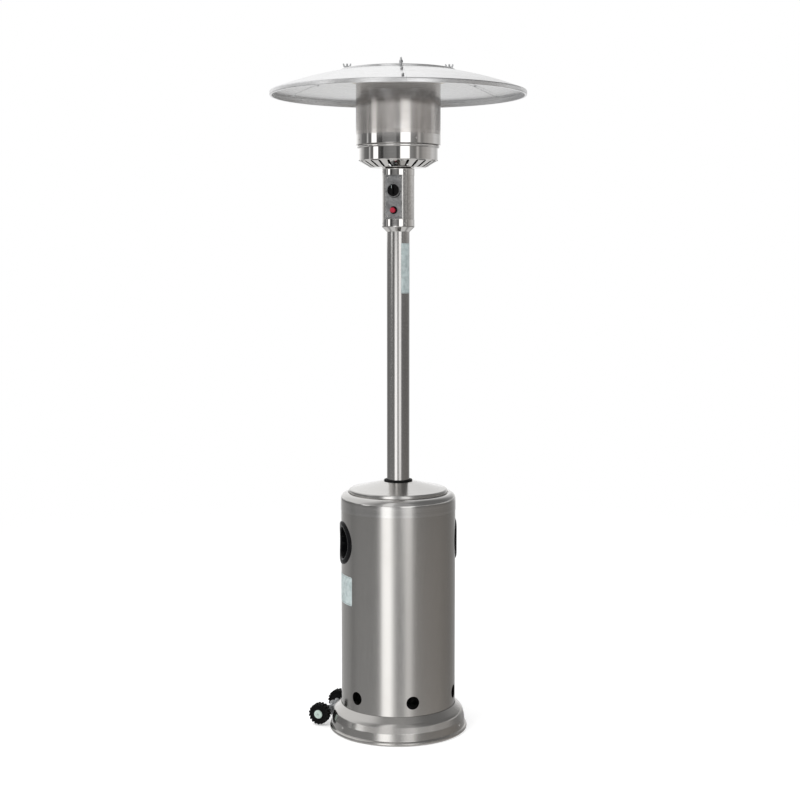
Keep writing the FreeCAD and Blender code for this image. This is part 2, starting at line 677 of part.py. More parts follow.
def head_mount():
    """A cup on the post's top end that the casing is screwed to."""
    outer = HEAD_R - SHEET - FIT
    cup = ring(outer - 1.5, outer, CASING_BOTTOM + 5, POST_TOP).fuse(disc(outer, POST_TOP, POST_TOP + 2))
    return cup.cut(collar_holes(LOWER_SCREW_Z) + [disc(PIPE_R + 3, POST_TOP - 1, POST_TOP + 3)])


def control_casing():
    """The brushed round casing with its flat-fronted opening."""
    tube = ring(HEAD_R - SHEET, HEAD_R, CASING_BOTTOM + 1, HEAD_TOP - 3)
    half = PANEL_HALF + PANEL_SIDE - 0.4
    window = block((-half, half), (-HEAD_R - 5, -PANEL_BACK + 6), (PANEL_LOW, PANEL_HIGH))
    return tube.cut([window] + collar_holes(LOWER_SCREW_Z) + collar_holes(UPPER_SCREW_Z))


def control_panel():
    """A flat front tray: face, two inward side folds, and a ledge at top and bottom."""
    depth = 7.0
    face = block((-PANEL_HALF, PANEL_HALF), (-PANEL_Y, -PANEL_BACK), (PANEL_LOW + 0.3, PANEL_HIGH - 0.3))
    pieces = []
    for side in (1, -1):
        near = side * (PANEL_HALF - PANEL_T)
        far = side * PANEL_HALF
        fold = block(sorted((near, far)), (-PANEL_Y, -PANEL_Y + depth), (PANEL_LOW + 0.3, PANEL_HIGH - 0.3))
        pieces.append(fold)
    inside = disc(HEAD_R - 0.5, PANEL_LOW, PANEL_HIGH)
    for low in (PANEL_LOW + 0.3, PANEL_HIGH - 0.3 - PANEL_T):
        ledge = block((-PANEL_HALF, PANEL_HALF), (-HEAD_R, -PANEL_BACK), (low, low + PANEL_T))
        pieces.append(ledge.common(inside))
    front = -PANEL_BACK - 10
    back = -PANEL_BACK + 10
    cuts = [front_rod(STEM_R + 1.5, front, back, KNOB_Z), front_rod(BUTTON_R + 0.5, front, back, IGNITER_Z)]
    cuts += [front_rod(1.5 + HOLE_GAP, front, back, z, x) for x, z in panel_screw_spots()]
    return face.fuse(pieces).cut(cuts)


def panel_screw_spots():
    x = PANEL_HALF - 6.5
    return [(s * x, z) for s in (-1, 1) for z in (PANEL_LOW + 9, PANEL_HIGH - 9)]


def panel_screws():
    screw = laid(pan_screw(1.5, 3.0, 1.8, 6.0), Vector(0, -1, 0))
    return [screw.translated(Vector(x, -PANEL_Y, z)) for x, z in panel_screw_spots()]


def top_collar():
    """The polished upper collar that carries the burner bowl."""
    outline = section([(HEAD_R - 9, HEAD_TOP), (COLLAR_R, HEAD_TOP, 2.5), (COLLAR_R, UPPER_COLLAR_Z)])
    return turned_sheet(outline).cut(collar_holes(UPPER_SCREW_Z))


def collar_screws():
    screw = laid(pan_screw(2.0, 3.8, 2.2, 5.0), Vector(1, 0, 0))
    seat = COLLAR_R + 0.05
    heights = (LOWER_SCREW_Z, UPPER_SCREW_Z)
    return [swung(screw, a, seat, z) for z in heights for a in COLLAR_SCREW_ANGLES]


def gas_valve():
    """Valve block with a stem bore at the front, the gas inlet below and taps on top."""
    width = (-VALVE_HALF, VALVE_HALF)
    body = block(width, (VALVE_FRONT, VALVE_BACK), (KNOB_Z - VALVE_HALF, KNOB_Z + VALVE_HALF))
    front = front_rod(11.0, BOSS_FRONT, VALVE_FRONT, KNOB_Z)
    inlet = disc(8.0, KNOB_Z - VALVE_HALF - 8, KNOB_Z - VALVE_HALF)
    bore = front_rod(STEM_R + RUNNING, BOSS_FRONT - 1, BOSS_FRONT + 23, KNOB_Z)
    socket = disc(PIPE_R, KNOB_Z - VALVE_HALF - 9, KNOB_Z - VALVE_SOCKET)
    edges = body.makeFillet(2.5, [e for e in body.Edges if abs(e.tangentAt(e.FirstParameter).z) > 0.9])
    return edges.fuse([front, inlet]).cut([bore, socket])


def tilt_switch():
    """Sealed tip-over switch on the casing's rear wall."""
    can = disc(10.0, KNOB_Z - 58, KNOB_Z - 28, 0, 28)
    cap = disc(6.0, KNOB_Z - 28, KNOB_Z - 22, 0, 28)
    tab = block((-8, 8), (36, HEAD_R - SHEET - 2.5), (KNOB_Z - 50, KNOB_Z - 36))
    return can.fuse([cap, tab])


def igniter_body():
    """Piezo body behind the panel, hollow at the front for the button."""
    well_back = BUTTON_TRAVEL + 2 - PANEL_BACK
    bore_back = BUTTON_STEM + BUTTON_TRAVEL + 3 - PANEL_BACK
    body = front_rod(BUTTON_R + 2.5, -PANEL_BACK, bore_back + 7.4, IGNITER_Z)
    well = front_rod(BUTTON_R + 0.3, -PANEL_BACK - 1, well_back, IGNITER_Z)
    bore = front_rod(4.0 + RUNNING, -PANEL_BACK - 1, bore_back, IGNITER_Z)
    return body.cut([well, bore])


def igniter_bezel():
    ring_piece = turned([
        (BUTTON_R + 0.3, 0), (BEZEL_R, 0), (BEZEL_R, BEZEL_H, 1.2), (BUTTON_R + 0.3, BEZEL_H),
    ])
    return laid(ring_piece, Vector(0, -1, 0)).translated(Vector(0, -PANEL_Y, IGNITER_Z))


def igniter_button():
    """A domed button on a stem that slides in the piezo body."""
    button = turned([
        (0, -BUTTON_STEM), (4.0, -BUTTON_STEM), (4.0, 0), (BUTTON_R, 0),
        (BUTTON_R, BUTTON_PROUD, 1.5), (0, BUTTON_PROUD),
    ])
    return laid(button, Vector(0, -1, 0)).translated(Vector(0, -PANEL_Y, IGNITER_Z))


def stem_washer():
    """Keyed washer that the knob's spring pushes on: it slides with the knob but doesn't turn."""
    washer = laid(ring(STEM_R + RUNNING, 7.0, 0, WASHER_T), Vector(0, 1, 0))
    return washer.translated(Vector(0, -PANEL_BACK + MOVE_GAP, KNOB_Z))


def valve_stem():
    front = PANEL_Y + KNOB_GAP + KNOB_DEPTH - 6
    return front_rod(STEM_R, -front, BOSS_FRONT + 14, KNOB_Z)


def control_knob():
    """A round knob with a raised grip bar across its face."""
    bar_half = 4.0
    step = KNOB_DEPTH * 0.52
    body = turned([
        (0, 0), (KNOB_R, 0), (KNOB_R, 3.5, 1.0), (KNOB_R - 2.0, step, 1.5), (0, step),
    ])
    bar = block((-bar_half, bar_half), (-KNOB_R + 2.5, KNOB_R - 2.5), (step - 1, KNOB_DEPTH))
    bar = bar.makeFillet(1.5, [e for e in bar.Edges if e.CenterOfMass.z > step])
    shape = body.fuse(bar).cut(disc(STEM_R, -1, KNOB_DEPTH - 6))
    return laid(shape, Vector(0, -1, 0)).translated(Vector(0, -PANEL_Y - KNOB_GAP, KNOB_Z))


# ------------------------------------------------------------------ burner
def gas_jet():
    low = KNOB_Z + VALVE_HALF
    flats = hexagon(12.0, 6.0).translated(Vector(0, 0, low))
    nose = turned([
        (0, low + 6), (4.5, low + 6), (3.0, low + 18), (0.8, low + 18), (0.8, low + 14), (0, low + 14),
    ])
    return flats.fuse(nose)


def mixing_tube():
    """Venturi tube from the jet up to the burner cup, with its air holes."""
    low = KNOB_Z + VALVE_HALF + 10
    tube = ring(MIX_R - 1.2, MIX_R, low, CUP_Z + 1.2)
    air = [radial_hole(4.5, 45.0 + 90.0 * k, low + 14, 5, MIX_R + 3) for k in range(4)]
    return tube.cut(air)


def burner_bowl():
    """The pressed bowl under the burner, with its ring of radial air slots."""
    wall_r = BOWL_R - SHEET - FIT
    outline = section([
        (MIX_R + FIT, HEAD_TOP + SHEET + FIT), (BOWL_R - BOWL_TURN, HEAD_TOP + SHEET + 1.2, 26.0),
        (wall_r - 3.5, HEAD_TOP + BOWL_RISE, 5.0), (wall_r, BAND_Z + 8, 6.0), (wall_r, BEAD_Z - 2),
    ])
    bowl = turned_sheet_below(outline)
    slot_low = HEAD_TOP - 6
    slot_high = HEAD_TOP + BOWL_RISE + 8
    near, far = [BOWL_R - inset for inset in SLOT_IN]
    slot = block((near, far), (-SLOT_W / 2, SLOT_W / 2), (slot_low, slot_high))
    slot = slot.fuse([disc(SLOT_W / 2, slot_low, slot_high, x) for x in (near, far)])
    cuts = [swung(slot, SLOT_ANGLE + 360.0 / SLOT_COUNT * k) for k in range(SLOT_COUNT)]
    cuts += [disc(r + 1.2, HEAD_TOP - 5, HEAD_TOP + 8, x, y) for x, y, r in riser_spots()]
    return bowl.cut(cuts)


def band_holes():
    reach = (SCREEN_R - 6, UPPER_BAND_R + 6)
    return [radial_hole(1.5 + HOLE_GAP, a, BAND_SCREW_Z, *reach) for a in BAND_SCREW_ANGLES]


def lower_band():
    wall = ring(BOWL_R - SHEET, BOWL_R, BAND_Z, BEAD_Z)
    lip = ring(BOWL_R - SHEET, BEAD_R - 1.5, BEAD_Z - SHEET, BEAD_Z)
    return wall.fuse(lip)


def band_bead():
    """The rounded ring between the two bands."""
    return turned([
        (BOWL_R - 2, BEAD_Z), (BEAD_R, BEAD_Z, 3.0), (BEAD_R, UPPER_BAND_Z, 3.0), (BOWL_R - 2, UPPER_BAND_Z),
    ])


def upper_band():
    inner = UPPER_BAND_R - SHEET
    wall = ring(inner, UPPER_BAND_R, UPPER_BAND_Z, UPPER_BAND_Z + UPPER_BAND_H)
    lip = ring(BOWL_R + 1, UPPER_BAND_R, UPPER_BAND_Z, UPPER_BAND_Z + SHEET)
    return wall.fuse(lip).cut(band_holes())


def band_screws():
    screw = laid(pan_screw(1.5, 3.2, 1.8, 5.0), Vector(1, 0, 0))
    return [swung(screw, a, UPPER_BAND_R + 0.02, BAND_SCREW_Z) for a in BAND_SCREW_ANGLES]


def sheet_screws():
    """All the pan-head screws of the sheet metal: skirt, collars, front panel and upper band."""
    return Part.makeCompound(skirt_screws() + collar_screws() + panel_screws() + band_screws())


def burner_cup():
    """The round burner head: a cup with a ring of flame ports and a shallow dome."""
    top = CUP_Z + CUP_H
    wall = 1.2
    cup = turned([
        (MIX_R + FIT, CUP_Z), (CUP_R, CUP_Z, 4.0), (CUP_R, top, 5.0), (0, top + 8), (0, top + 8 - wall),
        (CUP_R - wall, top - wall, 4.0), (CUP_R - wall, CUP_Z + wall, 3.0), (MIX_R + FIT, CUP_Z + wall),
    ])
    ports = [radial_hole(2.0, 15.0 * k, top - 12, CUP_R - 6, CUP_R + 4) for k in range(24)]
    return cup.cut(ports)


def riser_spots():
    """Where the pilot tube, thermocouple and electrode lead pass the bowl: x, y and radius."""
    return [(RISER_R, 0.0, 2.0), (RISER_R - 6, 12.0, 1.6), (RISER_R - 6, -12.0, 1.6)]


def riser(spot, end_y, top):
    """A small tube up through the bowl, out under the cup and up beside it."""
    x, y, radius = spot
    start = KNOB_Z + VALVE_HALF + 6
    cross = HEAD_TOP + 22
    points = [
        Vector(x, y, start), Vector(x, y, cross), Vector(PILOT_X, end_y, cross), Vector(PILOT_X, end_y, top),
    ]
    return tube_along(points, radius, 8.0)


def pilot_burner():
    """Pilot hood on a small bracket beside the burner cup."""
    base = CUP_Z + CUP_H - 18
    plate = block((PILOT_X - 9, PILOT_X + 9), (-14, 14), (base, base + 1.5))
    holes = [disc(2.5, base - 1, base + 3, PILOT_X, y) for y in (-9.0, 0.0, 9.0)]
    hood = disc(5.0, base + 1.5, base + 16, PILOT_X, 0).cut(disc(3.8, base + 1, base + 14, PILOT_X, 0))
    arm = block((CUP_R + FIT, PILOT_X - 8), (-6, 6), (base, base + 1.5))
    window = block((PILOT_X - 8, PILOT_X), (-2, 2), (base + 6, base + 12))
    return plate.cut(holes).fuse([hood.cut(window), arm])


def pilot_tube():
    return riser(riser_spots()[0], 0.0, CUP_Z + CUP_H - 12)


def thermocouple():
    return riser(riser_spots()[1], 9.0, CUP_Z + CUP_H + 6)


def ignition_electrode():
    lead = riser(riser_spots()[2], -9.0, CUP_Z + CUP_H + 2)
    ceramic = ring(1.4, 2.4, CUP_Z + CUP_H - 30, CUP_Z + CUP_H - 6).translated(Vector(PILOT_X, -9.0, 0))
    return lead.fuse(ceramic)


def emitter_screen():
    return ring(SCREEN_R - SHEET, SCREEN_R, SCREEN_Z, SCREEN_TOP).cut(band_holes())


def emitter_top_plate():
    """The round plate that closes the emitter and carries the reflector's studs."""
    plate = disc(TOP_PLATE_R, SCREEN_TOP, SCREEN_TOP + TOP_PLATE_T)
    inner = SCREEN_R - SHEET - FIT
    rim = ring(inner - 1.2, inner, SCREEN_TOP - 10, SCREEN_TOP)
    hole = disc(STUD_R + HOLE_GAP, SCREEN_TOP - 1, SCREEN_TOP + 3)
    return plate.fuse(rim).cut([swung(hole, a, STUD_AT) for a in STUD_ANGLES])


# ------------------------------------------------------------------ reflector
def dome_height(radius):
    """Height of the reflector's outer face at a radius."""
    return RIM_TOP + DOME_H - DOME_R + math.sqrt(DOME_R ** 2 - radius ** 2)


def dome_arc(near, far, lift=0.0):
    spots = [Vector(r, 0, dome_height(r) + lift) for r in (near, (near + far) / 2, far)]
    return Part.Arc(*spots).toShape()


def dome_strip(near, far, top, bottom, start, spread):
    """A strip of the dome between two radii, two depths below its outer face, and a spread of angle."""
    upper = dome_arc(near, far, -top)
    lower = dome_arc(far, near, -bottom)
    ends = []
    for radius, first, last in ((far, top, bottom), (near, bottom, top)):
        height = dome_height(radius)
        line = Part.LineSegment(Vector(radius, 0, height - first), Vector(radius, 0, height - last))
        ends.append(line.toShape())
    strip = Part.Face(Part.Wire([upper, ends[0], lower, ends[1]])).revolve(ORIGIN, AXIS, spread)
    strip.rotate(ORIGIN, AXIS, start)
    return strip


def stud_holes():
    low = SCREEN_TOP - 10
    return [swung(disc(STUD_R + 0.6, low, RIM_TOP + DOME_H + 20), a, STUD_AT) for a in STUD_ANGLES]


def seam_angles():
    return [SEAM_ANGLE + 360.0 / PANEL_COUNT * k for k in range(PANEL_COUNT)]


def on_dome(shape, radius, angle, lift=0.0):
    """Stands a piece on the dome's outer face, square to it."""
    lean = math.asin(radius / DOME_R)
    copy = laid(shape, Vector(math.sin(lean), 0, math.cos(lean)))
    return swung(copy, angle, radius, dome_height(radius) + lift)


def seam_screw_spots():
    """Three screws along each seam, evenly spaced, as (radius, angle)."""
    near = DISC_R + SEAM_SCREW_OUT
    far = REFLECTOR_R - SEAM_SCREW_IN
    return [(r, a - LAP_ANGLE / 2) for a in seam_angles() for r in (near, (near + far) / 2, far)]


def reflector_outline():
    """The section of one reflector panel, from its inner edge to the folded hem."""
    near_rim = REFLECTOR_R - 12.0
    start = Vector(near_rim, 0, dome_height(near_rim))
    corner = Vector(REFLECTOR_R, 0, RIM_TOP)
    low = Vector(REFLECTOR_R, 0, REFLECTOR_Z)
    end = Vector(REFLECTOR_R - HEM_W, 0, REFLECTOR_Z)
    rim = route([start, corner, low, end], [3.5, 1.6])
    return Part.Wire([dome_arc(PANEL_INNER_R, near_rim)] + rim.Edges)


def reflector_panel(seam):
    """A third of the dome. Its first edge steps down and runs under the panel before it."""
    far = REFLECTOR_R - 14.0
    step = SHEET + FIT
    main = turned_sheet(reflector_outline(), angle=360.0 / PANEL_COUNT - SEAM_GAP)
    main.rotate(ORIGIN, AXIS, seam)
    web = dome_strip(PANEL_INNER_R, far, SHEET / 2, SHEET + step, seam, WEB_ANGLE)
    lap = dome_strip(PANEL_INNER_R, far, step, SHEET + step, seam - LAP_ANGLE, LAP_ANGLE + WEB_ANGLE / 2)
    cutter = Part.makeCylinder(2.5 + HOLE_GAP, 20, Vector(0, 0, -10))
    return main.fuse([web, lap]).cut(stud_holes() + [on_dome(cutter, r, a) for r, a in seam_screw_spots()])


def reflector_disc():
    """The raised centre disc over the inner ends of the panels."""
    near_edge = DISC_R - 8.0
    edge_top = dome_height(near_edge) + DISC_RISE
    corner = Vector(DISC_R, 0, dome_height(DISC_R) + DISC_RISE)
    low = Vector(DISC_R, 0, dome_height(DISC_R) + 4 * FIT)
    rim = route([Vector(near_edge, 0, edge_top), corner, low], [2.5])
    outline = Part.Wire([dome_arc(0.0, near_edge, DISC_RISE)] + rim.Edges)
    return turned_sheet(outline).cut(stud_holes())


def acorn_nut(across):
    """Domed nut standing on the XY plane."""
    return hexagon(across, across * 0.5).fuse(dome_head(across * 0.46, across * 0.95, 0.6))


def seam_screws():
    """Screws through the laps, head below and acorn nut above."""
    shank = Part.makeCylinder(2.5, 5.0, Vector(0, 0, -3.5))
    head = dome_head(4.5, 2.6)
    head.rotate(ORIGIN, Vector(1, 0, 0), 180)
    head.translate(Vector(0, 0, -2 * SHEET - FIT - 0.15))
    nut = acorn_nut(8.0)
    nut.translate(Vector(0, 0, 0.15))
    screw = nut.fuse([shank, head])
    return Part.makeCompound([on_dome(screw, r, a) for r, a in seam_screw_spots()])


def wing_seat():
    return dome_height(STUD_AT - WING_HUB_R) + DISC_RISE + 0.35


def reflector_studs():
    low = SCREEN_TOP - 4.0
    head = hexagon(10.0, 4.0).translated(Vector(0, 0, low))
    shank = disc(STUD_R, low, wing_seat() + WING_H - 1)
    return Part.makeCompound([swung(head.fuse(shank), a, STUD_AT) for a in STUD_ANGLES])


def stud_nuts():
    """Flanged nuts that carry the reflector from below."""
    flange_r = 8.0
    high = dome_height(STUD_AT + flange_r) - 2 * SHEET - FIT - 0.15
    nut = disc(flange_r, high - 1.5, high).fuse(hexagon(10.0, 5.0).translated(Vector(0, 0, high - 6)))
    nut = nut.cut(disc(STUD_R, high - 8, high + 1))
    return Part.makeCompound([swung(nut, a, STUD_AT) for a in STUD_ANGLES])


def wing_nuts():
    """Wing nuts that hold the reflector down: a hub and two raised wings."""
    seat = wing_seat()
    hub = turned([(STUD_R, 0), (WING_HUB_R, 0), (5.2, 9.0, 0.8), (STUD_R, 9.0)])
    wing = Part.Face(Part.makePolygon([
        Vector(4.5, -1.1, 1.0), Vector(10.0, -1.1, 4.0), Vector(14.0, -1.1, WING_H - 3),
        Vector(11.5, -1.1, WING_H), Vector(8.5, -1.1, WING_H - 2), Vector(4.5, -1.1, 8.0),
        Vector(4.5, -1.1, 1.0),
    ])).extrude(Vector(0, 2.2, 0))
    other = wing.copy()
    other.rotate(ORIGIN, AXIS, 180)
    nut = hub.fuse([wing, other])
    nut.translate(Vector(0, 0, seat))
    return Part.makeCompound([swung(nut, a, STUD_AT) for a in STUD_ANGLES])


# ------------------------------------------------------------------ every piece, one file each
PIECES = {
    "base_plate": base_plate,
    "base_skirt": base_skirt,
    "rubber_feet": rubber_feet,
    "support_leg_left": lambda: support_leg(LEG_ANGLES["left"]),
    "support_leg_right": lambda: support_leg(LEG_ANGLES["right"]),
    "support_leg_rear": lambda: support_leg(LEG_ANGLES["rear"]),
    "post_flange": post_flange,
    "post_tube": post_tube,
    "post_label": post_label,
    "gas_pipe": gas_pipe,
    "gas_inlet_fitting": gas_inlet_fitting,
    "wheel_bracket": wheel_bracket,
    "frame_bolts": frame_bolts,
    "axle": axle,
    "axle_retainers": axle_retainers,
    "wheel_front": lambda: wheel(-1),
    "wheel_rear": lambda: wheel(1),
    "hub_cap_front": lambda: hub_cap(-1),
    "hub_cap_rear": lambda: hub_cap(1),
    "housing_shell": housing_shell,
    "housing_cap": housing_cap,
    "post_grommet": post_grommet,
    "grip_left": lambda: grip(GRIP_ANGLES["left"]),
    "grip_right": lambda: grip(GRIP_ANGLES["right"]),
    "housing_label": housing_label,
    "head_collar": head_collar,
    "head_mount": head_mount,
    "control_casing": control_casing,
    "control_panel": control_panel,
    "top_collar": top_collar,
    "gas_valve": gas_valve,
    "tilt_switch": tilt_switch,
    "igniter_body": igniter_body,
    "igniter_bezel": igniter_bezel,
    "igniter_button": igniter_button,
    "stem_washer": stem_washer,
    "valve_stem": valve_stem,
    "control_knob": control_knob,
    "gas_jet": gas_jet,
    "mixing_tube": mixing_tube,
    "burner_bowl": burner_bowl,
    "lower_band": lower_band,
    "band_bead": band_bead,
    "upper_band": upper_band,
    "sheet_screws": sheet_screws,
    "burner_cup": burner_cup,
    "pilot_burner": pilot_burner,
    "pilot_tube": pilot_tube,
    "thermocouple": thermocouple,
    "ignition_electrode": ignition_electrode,
    "emitter_screen": emitter_screen,
    "emitter_top_plate": emitter_top_plate,
    "reflector_studs": reflector_studs,
    "stud_nuts": stud_nuts,
    "wing_nuts": wing_nuts,
    "reflector_disc": reflector_disc,
}


def main():
    os.makedirs("parts", exist_ok=True)
    for name, make in PIECES.items():
        make().exportStep(f"parts/{name}.step")
    for number, seam in enumerate(seam_angles(), 1):
        reflector_panel(seam).exportStep(f"parts/reflector_panel_{number}.step")
    seam_screws().exportStep("parts/seam_screws.step")


main()
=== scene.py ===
import bmesh
import bpy
import json
import math
from mathutils import Matrix, Vector


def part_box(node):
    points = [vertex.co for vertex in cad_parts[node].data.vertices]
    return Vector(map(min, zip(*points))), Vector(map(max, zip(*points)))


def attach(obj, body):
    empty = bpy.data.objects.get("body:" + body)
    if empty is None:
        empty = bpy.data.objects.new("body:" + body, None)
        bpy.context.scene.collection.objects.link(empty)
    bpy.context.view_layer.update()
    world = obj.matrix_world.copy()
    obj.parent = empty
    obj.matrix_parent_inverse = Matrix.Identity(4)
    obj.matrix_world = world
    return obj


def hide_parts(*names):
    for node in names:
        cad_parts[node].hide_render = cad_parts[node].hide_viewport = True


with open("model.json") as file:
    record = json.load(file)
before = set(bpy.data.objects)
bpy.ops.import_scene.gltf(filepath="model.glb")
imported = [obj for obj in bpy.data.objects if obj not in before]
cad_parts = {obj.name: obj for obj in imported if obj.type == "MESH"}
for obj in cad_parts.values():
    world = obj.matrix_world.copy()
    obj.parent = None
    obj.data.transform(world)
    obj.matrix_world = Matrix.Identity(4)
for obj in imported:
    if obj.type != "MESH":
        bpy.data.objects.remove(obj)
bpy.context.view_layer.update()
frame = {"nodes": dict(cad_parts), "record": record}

# Free-standing gas patio heater. Sizes below are in millimetres in the same frame as the CAD model: origin on the
# floor on the post's axis, +Z up, control panel towards -Y, wheels towards -X. Meshes are made in metres.
MM = 0.001
SHEET = 0.8
AROUND = 192  # divisions round a turned piece
NODES = frame["nodes"]


def low(node):
    """The lowest corner of a CAD node, in millimetres."""
    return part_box(node)[0] / MM


def high(node):
    """The highest corner of a CAD node, in millimetres."""
    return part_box(node)[1] / MM


# ------------------------------------------------------------------ finishes: shared node groups
def new_group(name, inputs, outputs):
    """An empty shader node group with float or vector sockets. Inputs are (name, kind, value)."""
    tree = bpy.data.node_groups.new(name, "ShaderNodeTree")
    for label, kind, value in inputs:
        socket = tree.interface.new_socket(label, in_out="INPUT", socket_type="NodeSocket" + kind)
        socket.default_value = value
    for label, kind in outputs:
        tree.interface.new_socket(label, in_out="OUTPUT", socket_type="NodeSocket" + kind)
    start = tree.nodes.new("NodeGroupInput")
    end = tree.nodes.new("NodeGroupOutput")
    return tree, start, end


def add(tree, kind, links=(), **values):
    """A node with its properties, its input values by socket name, and its links by socket name."""
    node = tree.nodes.new("ShaderNode" + kind)
    for key, value in values.items():
        if hasattr(node, key):
            setattr(node, key, value)
        else:
            node.inputs[key.replace("_", " ")].default_value = value
    for where, source in dict(links).items():
        tree.links.new(source, node.inputs[where])
    return node


def maths(tree, operation, first, second=None, clamp=False):
    node = tree.nodes.new("ShaderNodeMath")
    node.operation = operation
    node.use_clamp = clamp
    for slot, value in enumerate((first, second)):
        if value is None:
            continue
        if isinstance(value, (int, float)):
            node.inputs[slot].default_value = value
        else:
            tree.links.new(value, node.inputs[slot])
    return node.outputs[0]


def remap(tree, value, from_low, from_high, to_low=0.0, to_high=1.0):
    node = add(tree, "MapRange", {"Value": value}, interpolation_type="SMOOTHSTEP")
    for name, number in (
        ("From Min", from_low), ("From Max", from_high), ("To Min", to_low), ("To Max", to_high),
    ):
        node.inputs[name].default_value = number
    return node.outputs["Result"]


def noise(tree, vector, scale, detail=3.0, roughness=0.55):
    node = add(tree, "TexNoise", {"Vector": vector})
    node.inputs["Scale"].default_value = scale
    node.inputs["Detail"].default_value = detail
    node.inputs["Roughness"].default_value = roughness
    return node.outputs["Fac"]


def group_brushed():
    """Fine straight lines left by a brush: coarse and fine streaks stretched along one direction."""
    tree, start, end = new_group("brushed lines", [
        ("Stretch", "Vector", (1.0, 1.0, 1.0)), ("Fineness", "Float", 1.0),
    ], [("Lines", "Float"), ("Height", "Float")])
    place = add(tree, "TexCoord")
    stretched = add(
        tree, "VectorMath", {0: place.outputs["Object"], 1: start.outputs["Stretch"]}, operation="MULTIPLY",
    )
    scaled = add(
        tree, "VectorMath", {0: stretched.outputs[0], "Scale": start.outputs["Fineness"]}, operation="SCALE",
    )
    coarse = noise(tree, scaled.outputs[0], 60.0, 2.0)
    fine = noise(tree, scaled.outputs[0], 420.0, 4.0, 0.7)
    lines = maths(tree, "ADD", maths(tree, "MULTIPLY", coarse, 0.45), maths(tree, "MULTIPLY", fine, 0.55))
    tree.links.new(remap(tree, lines, 0.32, 0.68), end.inputs["Lines"])
    tree.links.new(fine, end.inputs["Height"])
    return tree


def group_turned():
    """Concentric lines round the post's axis, as spinning and polishing leave on pressed discs."""
    tree, start, end = new_group(
        "turned lines", [("Fineness", "Float", 1.0)], [("Lines", "Float"), ("Height", "Float")],
    )
    place = add(tree, "TexCoord")
    parts = add(tree, "SeparateXYZ", {0: place.outputs["Object"]})
    flat = add(tree, "CombineXYZ", {"X": parts.outputs["X"], "Y": parts.outputs["Y"]})
    out = add(tree, "VectorMath", {0: flat.outputs[0]}, operation="LENGTH")
    along = add(tree, "CombineXYZ", {"X": out.outputs["Value"], "Z": parts.outputs["Z"]})
    scaled = add(
        tree, "VectorMath", {0: along.outputs[0], "Scale": start.outputs["Fineness"]}, operation="SCALE",
    )
    coarse = noise(tree, scaled.outputs[0], 90.0, 2.0)
    fine = noise(tree, scaled.outputs[0], 700.0, 3.0, 0.7)
    lines = maths(tree, "ADD", maths(tree, "MULTIPLY", coarse, 0.5), maths(tree, "MULTIPLY", fine, 0.5))
    tree.links.new(remap(tree, lines, 0.34, 0.66), end.inputs["Lines"])
    tree.links.new(fine, end.inputs["Height"])
    return tree


def group_handling():
    """Cloudy smears and a few fingerprint whorls, as a mask."""
    tree, start, end = new_group(
        "handling marks", [("Amount", "Float", 1.0)], [("Smears", "Float"), ("Prints", "Float")],
    )
    place = add(tree, "TexCoord")
    smears = remap(tree, noise(tree, place.outputs["Object"], 5.5, 5.0, 0.62), 0.42, 0.74)
    spots = add(tree, "TexVoronoi", {"Vector": place.outputs["Object"]}, feature="F1")
    spots.inputs["Scale"].default_value = 9.0
    whorl = maths(tree, "SINE", maths(tree, "MULTIPLY", spots.outputs["Distance"], 620.0))
    near = remap(tree, spots.outputs["Distance"], 0.05, 0.16, 1.0, 0.0)
    chosen = remap(tree, noise(tree, place.outputs["Object"], 2.3, 1.0), 0.56, 0.62)
    ridges = maths(tree, "MULTIPLY", maths(tree, "MULTIPLY", maths(tree, "ADD", whorl, 1.0), near), chosen)
    tree.links.new(maths(tree, "MULTIPLY", smears, start.outputs["Amount"]), end.inputs["Smears"])
    tree.links.new(maths(tree, "MULTIPLY", ridges, start.outputs["Amount"], clamp=True), end.inputs["Prints"])
    return tree


def group_wear():
    """Rubbed convex edges, broken up by noise, and dust that settles on upward faces."""
    tree, start, end = new_group(
        "edge wear and dust", [("Spread", "Float", 1.0)], [("Wear", "Float"), ("Dust", "Float")],
    )
    place = add(tree, "TexCoord")
    shape = add(tree, "NewGeometry")
    edges = remap(tree, shape.outputs["Pointiness"], 0.53, 0.60)
    broken = remap(tree, noise(tree, place.outputs["Object"], 85.0, 4.0, 0.7), 0.38, 0.62)
    wear = maths(tree, "MULTIPLY", maths(tree, "MULTIPLY", edges, broken), start.outputs["Spread"], clamp=True)
    facing = add(tree, "SeparateXYZ", {0: shape.outputs["Normal"]})
    up = remap(tree, facing.outputs["Z"], 0.55, 0.98)
    settled = remap(tree, noise(tree, place.outputs["Object"], 42.0, 5.0, 0.75), 0.45, 0.80)
    tree.links.new(wear, end.inputs["Wear"])
    tree.links.new(maths(tree, "MULTIPLY", up, settled), end.inputs["Dust"])
    return tree


def group_grained():
    """The fine all-over grain of moulded plastic, paint and rubber."""
    tree, start, end = new_group(
        "moulded grain", [("Size", "Float", 1.0)], [("Grain", "Float"), ("Cloud", "Float")],
    )
    place = add(tree, "TexCoord")
    scaled = add(
        tree, "VectorMath", {0: place.outputs["Object"], "Scale": start.outputs["Size"]}, operation="SCALE",
    )
    tree.links.new(noise(tree, scaled.outputs[0], 900.0, 4.0, 0.65), end.inputs["Grain"])
    tree.links.new(noise(tree, scaled.outputs[0], 24.0, 4.0, 0.6), end.inputs["Cloud"])
    return tree


